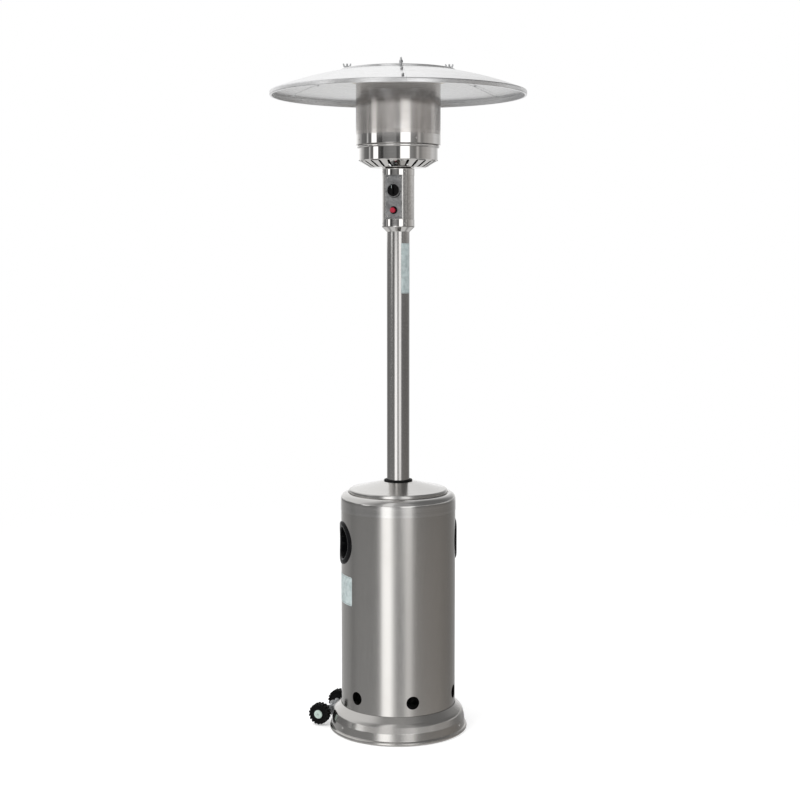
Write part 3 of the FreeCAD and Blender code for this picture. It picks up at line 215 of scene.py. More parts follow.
def group_soot_and_painted_shade():
    """Marks the faces that look into the burner: those that point at the post's axis or up out of the bowl. The
    mask stands for burner soot and for painted shade inside the burner's hollow.
    """
    tree, start, end = new_group("burner soot and painted shade", [("Reach", "Float", 1.0)], [("Soot And Shade", "Float")])
    place = add(tree, "TexCoord")
    shape = add(tree, "NewGeometry")
    flat = add(tree, "VectorMath", {0: place.outputs["Object"]}, operation="MULTIPLY")
    flat.inputs[1].default_value = (-1.0, -1.0, 0.0)
    inward = add(tree, "VectorMath", {0: flat.outputs[0]}, operation="NORMALIZE")
    towards = add(
        tree, "VectorMath", {0: inward.outputs[0], 1: shape.outputs["Normal"]}, operation="DOT_PRODUCT",
    )
    upward = add(tree, "SeparateXYZ", {0: shape.outputs["Normal"]}).outputs["Z"]
    facing = remap(tree, maths(tree, "MAXIMUM", towards.outputs["Value"], upward), 0.25, 0.6)
    cloud = remap(tree, noise(tree, place.outputs["Object"], 30.0), 0.2, 0.8, 0.75, 1.0)
    tree.links.new(
        maths(tree, "MULTIPLY", maths(tree, "MULTIPLY", facing, cloud), start.outputs["Reach"]),
        end.inputs["Soot And Shade"],
    )
    return tree


GROUPS = {
    "brushed": group_brushed(),
    "turned": group_turned(),
    "handling": group_handling(),
    "wear": group_wear(),
    "grained": group_grained(),
    "soot_and_shade": group_soot_and_painted_shade(),
}


def placed(tree, name, **values):
    node = tree.nodes.new("ShaderNodeGroup")
    node.node_tree = GROUPS[name]
    for key, value in values.items():
        node.inputs[key].default_value = value
    return node.outputs


def mixed(tree, share, first, second):
    """A colour between two, by a share that varies over the surface."""
    node = add(tree, "Mix", data_type="RGBA")
    tree.links.new(share, node.inputs["Factor"])
    colours = [s for s in node.inputs if s.type == "RGBA"]
    for socket, value in zip(colours, (first, second)):
        if isinstance(value, tuple):
            socket.default_value = (*value, 1.0)
        else:
            tree.links.new(value, socket)
    return [s for s in node.outputs if s.type == "RGBA"][0]


def new_material(name, **constants):
    material = bpy.data.materials.new(name)
    material.use_nodes = True
    tree = material.node_tree
    shader = tree.nodes["Principled BSDF"]
    for key, value in constants.items():
        shader.inputs[key.replace("_", " ")].default_value = value
    return material, tree, shader


def finish_surface(tree, shader, colour, roughness, height, strength, distance):
    """Feeds the shader its colour, roughness and bump."""
    tree.links.new(colour, shader.inputs["Base Color"])
    tree.links.new(roughness, shader.inputs["Roughness"])
    bump = add(tree, "Bump", {"Height": height})
    bump.inputs["Strength"].default_value = strength
    bump.inputs["Distance"].default_value = distance
    tree.links.new(bump.outputs["Normal"], shader.inputs["Normal"])


def steel(
    name, colour, rough, lines, stretch=(1.0, 1.0, 1.0), fineness=1.0, contrast=0.10, grip=0.12, warm=0.0,
):
    """Bare metal: grain lines in colour, roughness and bump, smears, fingerprints, rubbed edges and dust."""
    material, tree, shader = new_material(name, Metallic=1.0)
    if lines == "brushed":
        grain = placed(tree, "brushed", Stretch=stretch, Fineness=fineness)
    else:
        grain = placed(tree, "turned", Fineness=fineness)
    marks = placed(tree, "handling", Amount=1.0)
    worn = placed(tree, "wear", Spread=0.8)
    dark = tuple(c * (1.0 - contrast) for c in colour)
    light = tuple(min(1.0, c * (1.0 + contrast * 0.8)) for c in colour)
    tint = mixed(tree, grain["Lines"], dark, light)
    smeared = mixed(
        tree, maths(tree, "MULTIPLY", marks["Smears"], 0.25), tint,
        (colour[0], colour[1] * 0.985, colour[2] * (0.96 - warm)),
    )
    bright = mixed(tree, worn["Wear"], smeared, tuple(min(1.0, c * 1.18) for c in colour))
    dusty = mixed(tree, maths(tree, "MULTIPLY", worn["Dust"], 0.10), bright, (0.52, 0.50, 0.47))
    spread = maths(tree, "MULTIPLY", grain["Lines"], grip)
    smear = maths(tree, "MULTIPLY", marks["Smears"], 0.025)
    prints = maths(tree, "MULTIPLY", marks["Prints"], 0.012)
    dust = maths(tree, "MULTIPLY", worn["Dust"], 0.12)
    roughness = maths(
        tree, "ADD", maths(tree, "ADD", spread, rough),
        maths(tree, "ADD", maths(tree, "ADD", smear, prints), dust),
    )
    finish_surface(tree, shader, dusty, roughness, grain["Height"], 0.10, 0.00006)
    return material


def soot_and_shade_steel(name, colour, rough):
    """Polished steel whose burner side is dulled and darkened: partly heat soot, partly painted shade inside the
    burner.
    """
    material, tree, shader = new_material(name)
    grain = placed(tree, "turned", Fineness=1.3)
    marks = placed(tree, "handling", Amount=1.0)
    worn = placed(tree, "wear", Spread=0.8)
    soot_and_shade = placed(tree, "soot_and_shade", Reach=1.0)["Soot And Shade"]
    clean = mixed(tree, grain["Lines"], tuple(c * 0.98 for c in colour), tuple(c * 1.02 for c in colour))
    bright = mixed(tree, worn["Wear"], clean, tuple(min(1.0, c * 1.18) for c in colour))
    tree.links.new(remap(tree, soot_and_shade, 0.2, 0.8, 1.0, 0.2), shader.inputs["Metallic"])
    roughness = maths(
        tree, "ADD", maths(tree, "ADD", rough, maths(tree, "MULTIPLY", marks["Smears"], 0.02)),
        maths(tree, "MULTIPLY", soot_and_shade, 0.5),
    )
    # The near-black colour is soot and painted shade on the faces inside the burner, which show through the slots.
    finish_surface(
        tree, shader, mixed(tree, soot_and_shade, bright, (0.018, 0.016, 0.015)), roughness, grain["Height"], 0.06,
        0.00004,
    )
    return material


def coated(name, colour, rough, grain_size=1.0, strength=0.25, edge=(0.5, 0.5, 0.5), dust=0.25, **constants):
    """Paint, plastic or rubber: fine grain, cloudy colour, lighter rubbed edges, fingerprints and dust."""
    material, tree, shader = new_material(name, **constants)
    grain = placed(tree, "grained", Size=grain_size)
    marks = placed(tree, "handling", Amount=1.0)
    worn = placed(tree, "wear", Spread=0.6)
    cloudy = mixed(
        tree, remap(tree, grain["Cloud"], 0.35, 0.65), tuple(c * 0.86 for c in colour),
        tuple(min(1.0, c * 1.10) for c in colour)
    )
    rubbed = mixed(tree, maths(tree, "MULTIPLY", worn["Wear"], 0.5), cloudy, edge)
    dusty = mixed(tree, maths(tree, "MULTIPLY", worn["Dust"], dust), rubbed, (0.45, 0.43, 0.40))
    base = maths(tree, "ADD", rough - 0.06, maths(tree, "MULTIPLY", grain["Cloud"], 0.12))
    marked = maths(
        tree, "ADD", maths(tree, "MULTIPLY", marks["Smears"], 0.07),
        maths(tree, "MULTIPLY", marks["Prints"], -0.05),
    )
    finish_surface(tree, shader, dusty, maths(tree, "ADD", base, marked), grain["Grain"], strength, 0.0002)
    return material


def heated_steel(name):
    """Burner steel with straw and blue heat tints in soft bands."""
    material, tree, shader = new_material(name, Metallic=1.0)
    place = add(tree, "TexCoord")
    patches = noise(tree, place.outputs["Object"], 14.0, 4.0, 0.6)
    grain = placed(tree, "brushed", Stretch=(1.0, 1.0, 6.0), Fineness=1.0)
    worn = placed(tree, "wear", Spread=0.6)
    straw = mixed(tree, remap(tree, patches, 0.40, 0.55), (0.42, 0.40, 0.38), (0.46, 0.36, 0.22))
    blue = mixed(tree, remap(tree, patches, 0.58, 0.70), straw, (0.20, 0.21, 0.28))
    rubbed = mixed(tree, worn["Wear"], blue, (0.6, 0.58, 0.55))
    roughness = maths(tree, "ADD", 0.30, maths(tree, "MULTIPLY", grain["Lines"], 0.22))
    finish_surface(tree, shader, rubbed, roughness, grain["Height"], 0.2, 0.0001)
    return material


VERTICAL = (9.0, 9.0, 0.35)
LEVEL = (0.5, 0.5, 9.0)
FINISH = {
    "brushed_stainless": steel(
        "stainless, brushed upright", (0.63, 0.615, 0.595), 0.15, "brushed", VERTICAL, 1.0, 0.05, 0.07,
    ),
    "housing_steel": steel(
        "stainless sheet, fine upright grain", (0.62, 0.605, 0.585), 0.16, "brushed", VERTICAL, 0.8, 0.03, 0.05,
    ),
    "post_steel": steel(
        "stainless tube, fine grain", (0.64, 0.625, 0.61), 0.12, "brushed", LEVEL, 1.0, 0.03, 0.05,
    ),
    "cap_steel": steel(
        "stainless pressing, turned grain", (0.66, 0.65, 0.635), 0.12, "turned", fineness=1.0, contrast=0.06,
        grip=0.08,
    ),
    "screen_steel": steel(
        "perforated stainless", (0.62, 0.595, 0.575), 0.10, "brushed", VERTICAL, 1.4, 0.08, 0.08, warm=0.02,
    ),
    "casing_steel": steel(
        "stainless casing, upright grain", (0.62, 0.605, 0.59), 0.12, "brushed", VERTICAL, 1.3, 0.04, 0.05,
    ),
    "polished_stainless": steel(
        "polished stainless", (0.68, 0.665, 0.65), 0.03, "turned", fineness=1.3, contrast=0.02, grip=0.02,
    ),
    # The burner side of this finish is painted dark, as soot and as the shade inside the burner.
    "burner_polished": soot_and_shade_steel("polished stainless, burner side sooted and shade painted", (0.68, 0.665, 0.65), 0.03),
    "reflector_aluminium": steel(
        "spun aluminium", (0.90, 0.90, 0.905), 0.22, "turned", fineness=0.8, contrast=0.03, grip=0.08,
    ),
    "zinc_steel": steel(
        "zinc plated steel", (0.66, 0.67, 0.68), 0.28, "brushed", (1.0, 1.0, 1.0), 0.5, 0.14, 0.16,
    ),
    "burner_steel": heated_steel("heat tinted steel"),
    "brass": steel(
        "turned brass", (0.78, 0.60, 0.30), 0.22, "turned", fineness=1.2, contrast=0.10, grip=0.12, warm=0.05,
    ),
    "painted_steel": coated(
        "powder coat, dark grey", (0.085, 0.088, 0.092), 0.52, 1.0, 0.5, (0.30, 0.31, 0.32), 0.3,
    ),
    "panel_grey": coated("satin grey paint", (0.14, 0.141, 0.143), 0.36, 1.6, 0.12, (0.5, 0.5, 0.5), 0.1),
    "black_plastic": coated(
        "moulded black plastic", (0.004, 0.004, 0.0045), 0.22, 1.2, 0.15, (0.03, 0.03, 0.03), 0.05,
        Specular_IOR_Level=0.12,
    ),
    "wheel_black": coated(
        "tread rubber", (0.005, 0.005, 0.005), 0.55, 0.7, 0.4, (0.03, 0.03, 0.028), 0.12,
        Specular_IOR_Level=0.10,
    ),
    "hub_pale": coated("pale moulded plastic", (0.46, 0.55, 0.50), 0.32, 1.5, 0.1, (0.8, 0.84, 0.82), 0.15),
    "label_pale": coated("printed film, pale", (0.37, 0.44, 0.44), 0.42, 2.0, 0.08, (0.7, 0.75, 0.75), 0.08),
    "red_plastic": coated("moulded red plastic", (0.36, 0.012, 0.035), 0.25, 1.5, 0.1, (0.7, 0.12, 0.12), 0.1),
    "black_rubber": coated(
        "black rubber", (0.006, 0.006, 0.006), 0.58, 0.8, 0.3, (0.04, 0.04, 0.04), 0.08,
        Specular_IOR_Level=0.12,
    ),
    "label_ink": coated("printed grey ink", (0.10, 0.12, 0.12), 0.45, 2.0, 0.05, (0.2, 0.2, 0.2), 0.05),
}


# ------------------------------------------------------------------ ways of making a mesh
def rounded(points, steps=6, guard=1.6):
    """Turns (out, up, bend) corners into arcs, with a guard point beside each bend so that flats stay flat."""
    line = [Vector(points[0][:2])]
    for before, corner, after in zip(points, points[1:], points[2:]):
        spot = Vector(corner[:2])
        bend = corner[2] if len(corner) > 2 else 0.0
        back = (Vector(before[:2]) - spot).normalized()
        ahead = (Vector(after[:2]) - spot).normalized()
        if bend == 0.0:
            line.append(spot)
            continue
        half = back.angle(ahead) / 2
        reach = bend / math.tan(half)
        centre = spot + (back + ahead).normalized() * bend / math.sin(half)
        first = spot + back * reach - centre
        last = spot + ahead * reach - centre
        turn = math.atan2(first.x * last.y - first.y * last.x, first.dot(last))
        line += [centre + Matrix.Rotation(turn * k / steps, 2) @ first for k in range(steps + 1)]
    line.append(Vector(points[-1][:2]))
    guarded = [line[0]]
    for start, end in zip(line, line[1:]):
        run = end - start
        if run.length > guard * 4:
            guarded += [start + run.normalized() * guard, end - run.normalized() * guard]
        guarded.append(end)
    return guarded


def offset(line, distance):
    """The line moved sideways, to the right of travel, by a distance."""
    moved = []
    for k, spot in enumerate(line):
        ways = []
        if k > 0:
            ways.append((spot - line[k - 1]).normalized())
        if k < len(line) - 1:
            ways.append((line[k + 1] - spot).normalized())
        middle = sum(ways, Vector((0, 0))).normalized()
        share = max(0.3, middle.dot(ways[0]))
        moved.append(spot + Vector((middle.y, -middle.x)) * distance / share)
    return moved


def sheet_section(points, thickness=SHEET, steps=6):
    """The closed section of a sheet whose outer face runs from the axis outward and down, with rounded edges."""
    outer = rounded(points, steps)
    inner = offset(outer, thickness)
    far = (outer[-1] + inner[-1]) / 2 + (outer[-1] - outer[-2]).normalized() * thickness * 0.3
    near = (outer[0] + inner[0]) / 2 + (outer[0] - outer[1]).normalized() * thickness * 0.3
    return outer + [far] + inner[::-1] + [near]


def closed_section(points, steps=4):
    """A closed section with rounded corners, starting and ending at its first point."""
    return rounded(list(points) + [points[0]], steps)[:-1]


def spun(mesh, line, closed=True, around=AROUND, start=0.0, spread=360.0, place=None):
    """Turns a section about the Z axis in a bmesh, then moves it by a matrix."""
    full = spread >= 360.0
    count = around if full else around + 1
    rings = []
    for k in range(count):
        turn = math.radians(start + spread * k / around)
        way = Vector((math.cos(turn), math.sin(turn)))
        rings.append([mesh.verts.new((way.x * p.x, way.y * p.x, p.y)) for p in line])
    steps = len(line) if closed else len(line) - 1
    for k in range(around):
        one = rings[k]
        two = rings[(k + 1) % count]
        for j in range(steps):
            nxt = (j + 1) % len(line)
            mesh.faces.new((one[j], two[j], two[nxt], one[nxt]))
    if closed and not full:
        mesh.faces.new(rings[0])
        mesh.faces.new(rings[-1][::-1])
    if place is not None:
        bmesh.ops.transform(mesh, matrix=place, verts=[v for ring in rings for v in ring])


def extruded(mesh, outline, depth, place=None):
    """A plate: a closed outline in XY pulled along +Z."""
    bottom = [mesh.verts.new((p[0], p[1], 0.0)) for p in outline]
    top = [mesh.verts.new((p[0], p[1], depth)) for p in outline]
    mesh.faces.new(bottom[::-1])
    mesh.faces.new(top)
    for k in range(len(outline)):
        nxt = (k + 1) % len(outline)
        mesh.faces.new((bottom[k], bottom[nxt], top[nxt], top[k]))
    if place is not None:
        bmesh.ops.transform(mesh, matrix=place, verts=bottom + top)
    return bottom + top


def corner_arcs(left, right, bottom, top, bend, steps):
    """The points of a rectangle's four rounded corners, from the upper right one round to the left."""
    corners = (
        (right - bend, top - bend, 0.0), (left + bend, top - bend, 90.0),
        (left + bend, bottom + bend, 180.0), (right - bend, bottom + bend, 270.0),
    )
    spots = []
    for across, up, start in corners:
        for k in range(steps + 1):
            turn = math.radians(start + 90.0 / steps * k)
            spots.append((across + bend * math.cos(turn), up + bend * math.sin(turn)))
    return spots


def piece(name, mesh, body, finish, nodes=(), bevel=0.0, sharp=32.0, weld=0.01):
    """Finishes a bmesh drawn in millimetres as an object that rides a body and stands for CAD nodes."""
    bmesh.ops.remove_doubles(mesh, verts=mesh.verts, dist=weld)
    bmesh.ops.dissolve_degenerate(mesh, edges=mesh.edges, dist=0.001)
    bmesh.ops.recalc_face_normals(mesh, faces=mesh.faces)
    bmesh.ops.scale(mesh, vec=(MM, MM, MM), verts=mesh.verts)
    data = bpy.data.meshes.new(name)
    mesh.to_mesh(data)
    mesh.free()
    obj = bpy.data.objects.new(name, data)
    bpy.context.scene.collection.objects.link(obj)
    data.shade_smooth()
    data.set_sharp_from_angle(angle=math.radians(sharp))
    if bevel:
        edge = obj.modifiers.new("eased edges", "BEVEL")
        edge.width = bevel * MM
        edge.segments = 2
        edge.limit_method = "ANGLE"
        edge.angle_limit = math.radians(40.0)
        edge.harden_normals = True
    data.materials.append(FINISH[finish])
    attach(obj, body)
    if nodes:
        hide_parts(*nodes)
    return obj


def turned_piece(name, section, body, finish, nodes=(), **settings):
    mesh = bmesh.new()
    spun(mesh, section)
    return piece(name, mesh, body, finish, nodes, **settings)


def at_angle(angle, out=0.0, up=0.0):
    """A placement that moves a shape out along +X and up, then swings it about the post."""
    return Matrix.Rotation(math.radians(angle), 4, "Z") @ Matrix.Translation((out, 0.0, up))


POINT_OUT = Matrix.Rotation(math.radians(90.0), 4, "Y")  # +Z to +X
POINT_FRONT = Matrix.Rotation(math.radians(90.0), 4, "X")  # +Z to -Y


def holed_patch(mesh, u_span, v_span, counts, centre, reach, rings, to_space, flip=False):
    """A patch of surface with a hole in it, drawn in its own (u, v) plane and mapped by to_space.

    reach(direction) is the hole's radius in a direction. The rim's points are returned in order.
    """
    across, along = counts
    (u0, u1), (v0, v1) = u_span, v_span
    edge = [(u0 + (u1 - u0) * k / across, v0) for k in range(across)]
    edge += [(u1, v0 + (v1 - v0) * k / along) for k in range(along)]
    edge += [(u1 - (u1 - u0) * k / across, v1) for k in range(across)]
    edge += [(u0, v1 - (v1 - v0) * k / along) for k in range(along)]
    middle = Vector(centre)
    loops = []
    for ring in range(rings + 1):
        share = (ring / rings) ** 1.7
        loop = []
        for spot in edge:
            border = Vector(spot)
            way = border - middle
            rim = middle + way.normalized() * reach(way.normalized())
            loop.append(mesh.verts.new(to_space(*(rim.lerp(border, share)))))
        loops.append(loop)
    for one, two in zip(loops, loops[1:]):
        for k in range(len(edge)):
            nxt = (k + 1) % len(edge)
            corners = (one[k], one[nxt], two[nxt], two[k])
            mesh.faces.new(corners[::-1] if flip else corners)
    return loops[0]


def bridge(mesh, one, two):
    """Faces between two loops of the same count."""
    for k in range(len(one)):
        nxt = (k + 1) % len(one)
        mesh.faces.new((one[k], one[nxt], two[nxt], two[k]))


# ------------------------------------------------------------------ base
def base_skirt():
    """The flared cover: neck, shoulder, crease, leaning band and a rolled rim."""
    neck, rim = 191.6, 230.0
    outline = [
        (neck, 86.0), (215.3, 65.0, 22.0), (221.7, 39.0, 6.0), (223.5, 13.4, 1.6), (rim, 13.4, 4.6),
        (rim, 0.6, 4.6), (221.0, 0.6),
    ]
    return turned_piece("skirt", sheet_section(outline), "stand", "housing_steel", ["base_skirt"])


def cross_screw(mesh, radius, height, place):
    """A pan head with a cross recess: rings of points pressed down inside the cross."""
    rings = [0.0, 0.16, 0.32, 0.48, 0.64, 0.8, 0.92, 1.0]
    around = 32
    arm = radius * 0.17
    loops = []
    for share in rings:
        out = radius * share
        rise = height * (0.35 + 0.65 * math.sqrt(max(0.0, 1.0 - share ** 2)))
        loop = []
        for k in range(around):
            turn = 2 * math.pi * k / around
            x, y = out * math.cos(turn), out * math.sin(turn)
            pressed = share < 0.6 and min(abs(x), abs(y)) < arm
            loop.append(mesh.verts.new((x, y, rise - (height * 0.55 if pressed else 0.0))))
        loops.append(loop)
    loops.append([mesh.verts.new((v.co.x, v.co.y, 0.0)) for v in loops[-1]])
    for one, two in zip(loops, loops[1:]):
        bridge(mesh, one, two)
    mesh.faces.new(loops[-1][::-1])
    bmesh.ops.transform(mesh, matrix=place, verts=[v for loop in loops for v in loop])


def sheet_screws():
    """Every pan-head screw of the sheet metal, in its CAD place."""
    mesh = bmesh.new()
    for angle in (-125.0, -5.0, 115.0):
        cross_screw(mesh, 4.2, 2.4, at_angle(angle, 222.6, 30.0) @ POINT_OUT)
    for angle in (-135.0, -45.0, 45.0, 135.0):
        for height in (1683.0, 1851.0):
            cross_screw(mesh, 3.8, 2.2, at_angle(angle, 53.95, height) @ POINT_OUT)
    for x in (-21.8, 21.8):
        for height in (1706.0, 1831.0):
            cross_screw(mesh, 3.0, 1.8, Matrix.Translation((x, -43.6, height)) @ POINT_FRONT)
    for angle in (-45.0, 45.0, 135.0, 225.0):
        cross_screw(mesh, 3.2, 1.8, at_angle(angle, 139.52, 1953.5) @ POINT_OUT)
    return piece("pan_head_screws", mesh, "stand", "polished_stainless", ["sheet_screws"], weld=0.001)


# ------------------------------------------------------------------ wheels
WHEEL_SPOT = (-250.0, 39.0)
WHEEL_R = 35.0
WHEEL_HALF = 15.0


def on_axle(side):
    """Places a piece drawn along +Z, outer end up, at the front (-1) or rear (1) wheel."""
    turn = Matrix.Rotation(math.radians(-90.0 * side), 4, "X")
    return Matrix.Translation((WHEEL_SPOT[0], side * 85.0, WHEEL_SPOT[1])) @ turn


def wheel(side, body, node, name):
    """A moulded wheel: dished sides with ribs and two rows of chunky staggered tread blocks."""
    mesh = bmesh.new()
    half = WHEEL_HALF
    root = WHEEL_R - 3.4
    section = closed_section([
        (4.1, -half + 0.6), (
            17.0, -half + 0.3, 1.5,
        ), (20.5, -half + 3.5, 2.5), (26.0, -half + 3.2, 3.0), (28.4, -half + 0.2, 2.0),
        (root, -half + 3.0, 3.5), (root, half - 3.0, 3.5), (28.4, half - 0.2, 2.0), (26.0, half - 3.2, 3.0),
        (20.5, half - 3.5, 2.5), (17.0, half - 0.3, 1.5), (14.6, half - 0.6), (14.6, 8.2), (4.1, 8.2),
    ])
    spun(mesh, section, around=96)
    lugs = 18
    for k in range(lugs):
        for row, shift in ((-1, 0.0), (1, 0.5)):
            turn = 360.0 / lugs * (k + shift)
            near, far = 1.0 * row, (half - 0.6) * row
            lowest, highest = sorted((near, far))
            width = 7.4
            block = extruded(mesh, [
                (root - 2.0, -width / 2), (root + 1.4, -width / 2), (WHEEL_R - 0.3, -width / 2 + 1.1),
                (WHEEL_R, -width / 2 + 2.0), (WHEEL_R, width / 2 - 2.0), (WHEEL_R - 0.3, width / 2 - 1.1),
                (root + 1.4, width / 2), (root - 2.0, width / 2),
            ], highest - lowest)
            bmesh.ops.transform(mesh, verts=block, matrix=at_angle(turn, 0.0, lowest))
        shoulder = extruded(
            mesh, [(27.0, -2.2), (root + 0.6, -3.0), (root + 0.6, 3.0), (27.0, 2.2)], 2 * half - 1.0,
        )
        bmesh.ops.transform(mesh, verts=shoulder, matrix=at_angle(360.0 / lugs * (k + 0.25), 0.0, -half + 0.5))
    bmesh.ops.transform(mesh, verts=mesh.verts, matrix=on_axle(side))
    return piece(name, mesh, body, "wheel_black", [node], bevel=0.35, weld=0.0005)


def hub_cap(side, body, node, name):
    """A pale pressed cap with a raised ring and a screw-like centre boss."""
    mesh = bmesh.new()
    spun(mesh, [Vector(p) for p in rounded([
        (0.0, 18.0), (3.2, 18.0, 0.8), (3.6, 16.6, 0.5), (7.0, 16.4, 0.8), (8.2, 18.3, 0.8), (
            11.2, 18.3, 1.0,
        ), (14.0, 16.6, 1.2),
        (14.4, 15.0, 0.3), (14.4, 9.0), (12.4, 9.0), (12.4, 15.2), (0.0, 15.2),
    ], 3)], closed=False, around=64)
    bmesh.ops.transform(mesh, verts=mesh.verts, matrix=on_axle(side))
    piece(name, mesh, body, "hub_pale", [node])
    mark = bmesh.new()
    cross_screw(mark, 3.0, 1.1, on_axle(side) @ Matrix.Translation((0.0, 0.0, 17.55)))
    piece(name + "_screw", mark, body, "zinc_steel", weld=0.001)


# ------------------------------------------------------------------ cylinder housing
HOUSING_R = 190.0
VENT_ANGLES = [-115.5 + 60.0 * k for k in range(6)]
GRIP_ANGLES = {"left": -145.5, "right": 34.5}
GRIP_Z = 631.0


def on_wall(radius):
    """Maps (arc length, height) on a round wall to space. Arc length is measured at the housing's radius."""
    def to_space(arc, up):
        turn = arc / HOUSING_R
        return (radius * math.cos(turn), radius * math.sin(turn), up)
    return to_space


def plain_patch(mesh, start, width, count, rows, to_space, flip):
    """Adds a wall patch without holes: count columns from start, cut at the given heights."""
    for j in range(count):
        left = start + width * j
        right = left + width
        for below, above in zip(rows, rows[1:]):
            corners = [
                mesh.verts.new(to_space(u, v)) for u,
                v in ((left, below), (right, below), (right, above), (left, above))
            ]
            mesh.faces.new(corners[::-1] if flip else corners)


def housing_shell():
    """The rolled sheet with six vents and two grip openings, its outer and inner faces joined round each hole."""
    mesh = bmesh.new()
    bottom, top = low("housing_shell").z, high("housing_shell").z
    vent_low, vent_high, vent_up, vent_r = bottom, 246.0, 131.0, 21.5
    grip_low, grip_high, grip_r = 516.0, top, 54.6
    cells, rows_high = 32, 24
    sixth = math.radians(60.0) * HOUSING_R
    for radius, flip in ((HOUSING_R, False), (HOUSING_R - SHEET, True)):
        to_space = on_wall(radius)
        for angle in VENT_ANGLES:
            middle = math.radians(angle) * HOUSING_R
            span = (middle - sixth / 2, middle + sixth / 2)
            holed_patch(
                mesh, span, (vent_low, vent_high), (cells, rows_high), (middle, vent_up), lambda way: vent_r, 6,
                to_space, flip,
            )
        for k in range(6):
            middle = math.radians(GRIP_ANGLES["right"] + 60.0 * k) * HOUSING_R
            span = (middle - sixth / 2, middle + sixth / 2)
            if k % 3 == 0:
                holed_patch(
                    mesh, span, (
                        grip_low, grip_high,
                    ), (cells, rows_high), (middle, GRIP_Z), lambda way: grip_r, 6,
                    to_space, flip,
                )
                continue
            rows = [grip_low + (grip_high - grip_low) * i / rows_high for i in range(rows_high + 1)]
            plain_patch(mesh, span[0], sixth / cells, cells, rows, to_space, flip)
        heights = [vent_high, 300.0, 400.0, 470.0, grip_low]
        start = math.radians(VENT_ANGLES[0]) * HOUSING_R - sixth / 2
        plain_patch(mesh, start, sixth / cells, cells * 6, heights, to_space, flip)
    bmesh.ops.remove_doubles(mesh, verts=mesh.verts, dist=0.05)
    join_rims(mesh)
    shell = piece("housing_sheet", mesh, "housing", "housing_steel", ["housing_shell"])
    round_normals(shell.data)


def round_normals(data):
    """Gives the faces of a wall round the post normals that point straight out or in, as on a true cylinder."""
    normals = [Vector((0.0, 0.0, 0.0))] * len(data.loops)
    for face in data.polygons:
        way = Vector((face.center.x, face.center.y, 0.0)).normalized()
        facing = face.normal.dot(way)
        if abs(facing) < 0.95:
            continue
        for corner in face.loop_indices:
            spot = data.vertices[data.loops[corner].vertex_index].co
            out = Vector((spot.x, spot.y, 0.0)).normalized()
            normals[corner] = out if facing > 0.0 else -out
    data.normals_split_custom_set(normals)


def join_rims(mesh):
    """Closes the gap between the outer and inner faces of a double wall, rim by rim."""
    inner = {}
    for vert in mesh.verts:
        if vert.is_boundary and vert.co.to_2d().length < HOUSING_R - SHEET / 2:
            turn = round(math.atan2(vert.co.y, vert.co.x), 4)
            inner[(turn, round(vert.co.z, 1))] = vert
    for edge in [e for e in mesh.edges if e.is_boundary]:
        one, two = edge.verts
        if one.co.to_2d().length < HOUSING_R - SHEET / 2:
            continue
        mates = [inner.get((round(math.atan2(v.co.y, v.co.x), 4), round(v.co.z, 1))) for v in (one, two)]
        if None not in mates:
            mesh.faces.new((one, two, mates[1], mates[0]))


def housing_cap():
    """The pressed lid: side, rounded shoulder, groove and raised cone with a land for the grommet."""
    outline = [
        (43.6, 830.0), (52.0, 830.0, 3.0), (162.9, 804.5, 4.0), (162.9, 787.0, 1.3), (166.9, 787.0, 1.3),
        (166.9, 793.0, 1.6), (190.9, 793.0, 21.0), (190.9, 750.0), (190.9, 749.0), (190.9, 736.5),
    ]
    return turned_piece("housing_lid", sheet_section(outline, steps=8), "housing", "cap_steel", ["housing_cap"])


def post_grommet():
    section = closed_section([
        (38.6, 826.2, 0.6), (46.0, 826.2, 0.6), (46.0, 829.2), (43.5, 829.2), (43.5, 830.0), (47.0, 830.0),
        (47.0, 835.5, 1.8), (38.6, 835.5, 1.2),
    ])
    return turned_piece("post_ring", section, "housing", "black_rubber", ["post_grommet"])


def grip(side):
    """A moulded finger recess: a rounded flange that follows the wall, a ribbed cup and a flat back."""
    mesh = bmesh.new()
    around = 96
    profile = [
        (70.9, 0.1, "skin"), (
            71.0, 1.2, "skin",
        ), (70.6, 2.8, "skin"), (69.2, 4.3, "skin"), (67.0, 5.0, "skin"), (60.0, 5.0, "skin"),
        (57.2, 4.8, "skin"), (54.6, 3.6, "skin"), (53.0, 1.6, "skin"), (52.3, -1.5, "skin"), (
            52.0, 181.0, "flat",
        ),
        (52.0, 166.5, "flat"), (
            51.4, 163.0, "flat",
        ), (49.0, 160.9, "flat"), (46.0, 160.5, "flat"), (24.0, 160.5, "flat"), (22.0, 161.6, "flat"),
        (8.0, 161.9, "flat"), (0.0, 161.9, "flat"),
    ]
    back = [
        (
            54.5, 158.0, "flat",
        ), (54.5, 184.0, "flat"), (54.5, -3.0, "skin"), (54.5, 0.05, "skin"), (70.9, 0.1, "skin"),
    ]
    loops = []
    for out, depth, kind in [(0.0, 158.0, "flat"), *back, *profile[1:]]:
        loop = []
        for k in range(around):
            turn = 2 * math.pi * k / around
            arc, up = out * math.cos(turn), out * math.sin(turn)
            x = math.sqrt((HOUSING_R + depth) ** 2 - arc ** 2) if kind == "skin" else depth
            loop.append(mesh.verts.new((x, arc, GRIP_Z + up)))
        loops.append(loop)
    for one, two in zip(loops, loops[1:]):
        bridge(mesh, one, two)
    rib_circle, rib_pitch = 44.0, 11.0
    rib_outline = [(160.0, -0.9), (164.5, -0.7), (164.5, 0.7), (160.0, 0.9)]
    for k in range(-3, 4):
        half = math.sqrt(rib_circle ** 2 - (rib_pitch * k) ** 2)
        rib = extruded(mesh, rib_outline, 2 * half)
        bmesh.ops.transform(mesh, verts=rib, matrix=Matrix.Translation((0.0, rib_pitch * k, GRIP_Z - half)))
    bmesh.ops.transform(mesh, verts=mesh.verts, matrix=at_angle(GRIP_ANGLES[side]))
    return piece("finger_grip_" + side, mesh, "housing", "black_plastic", ["grip_" + side])


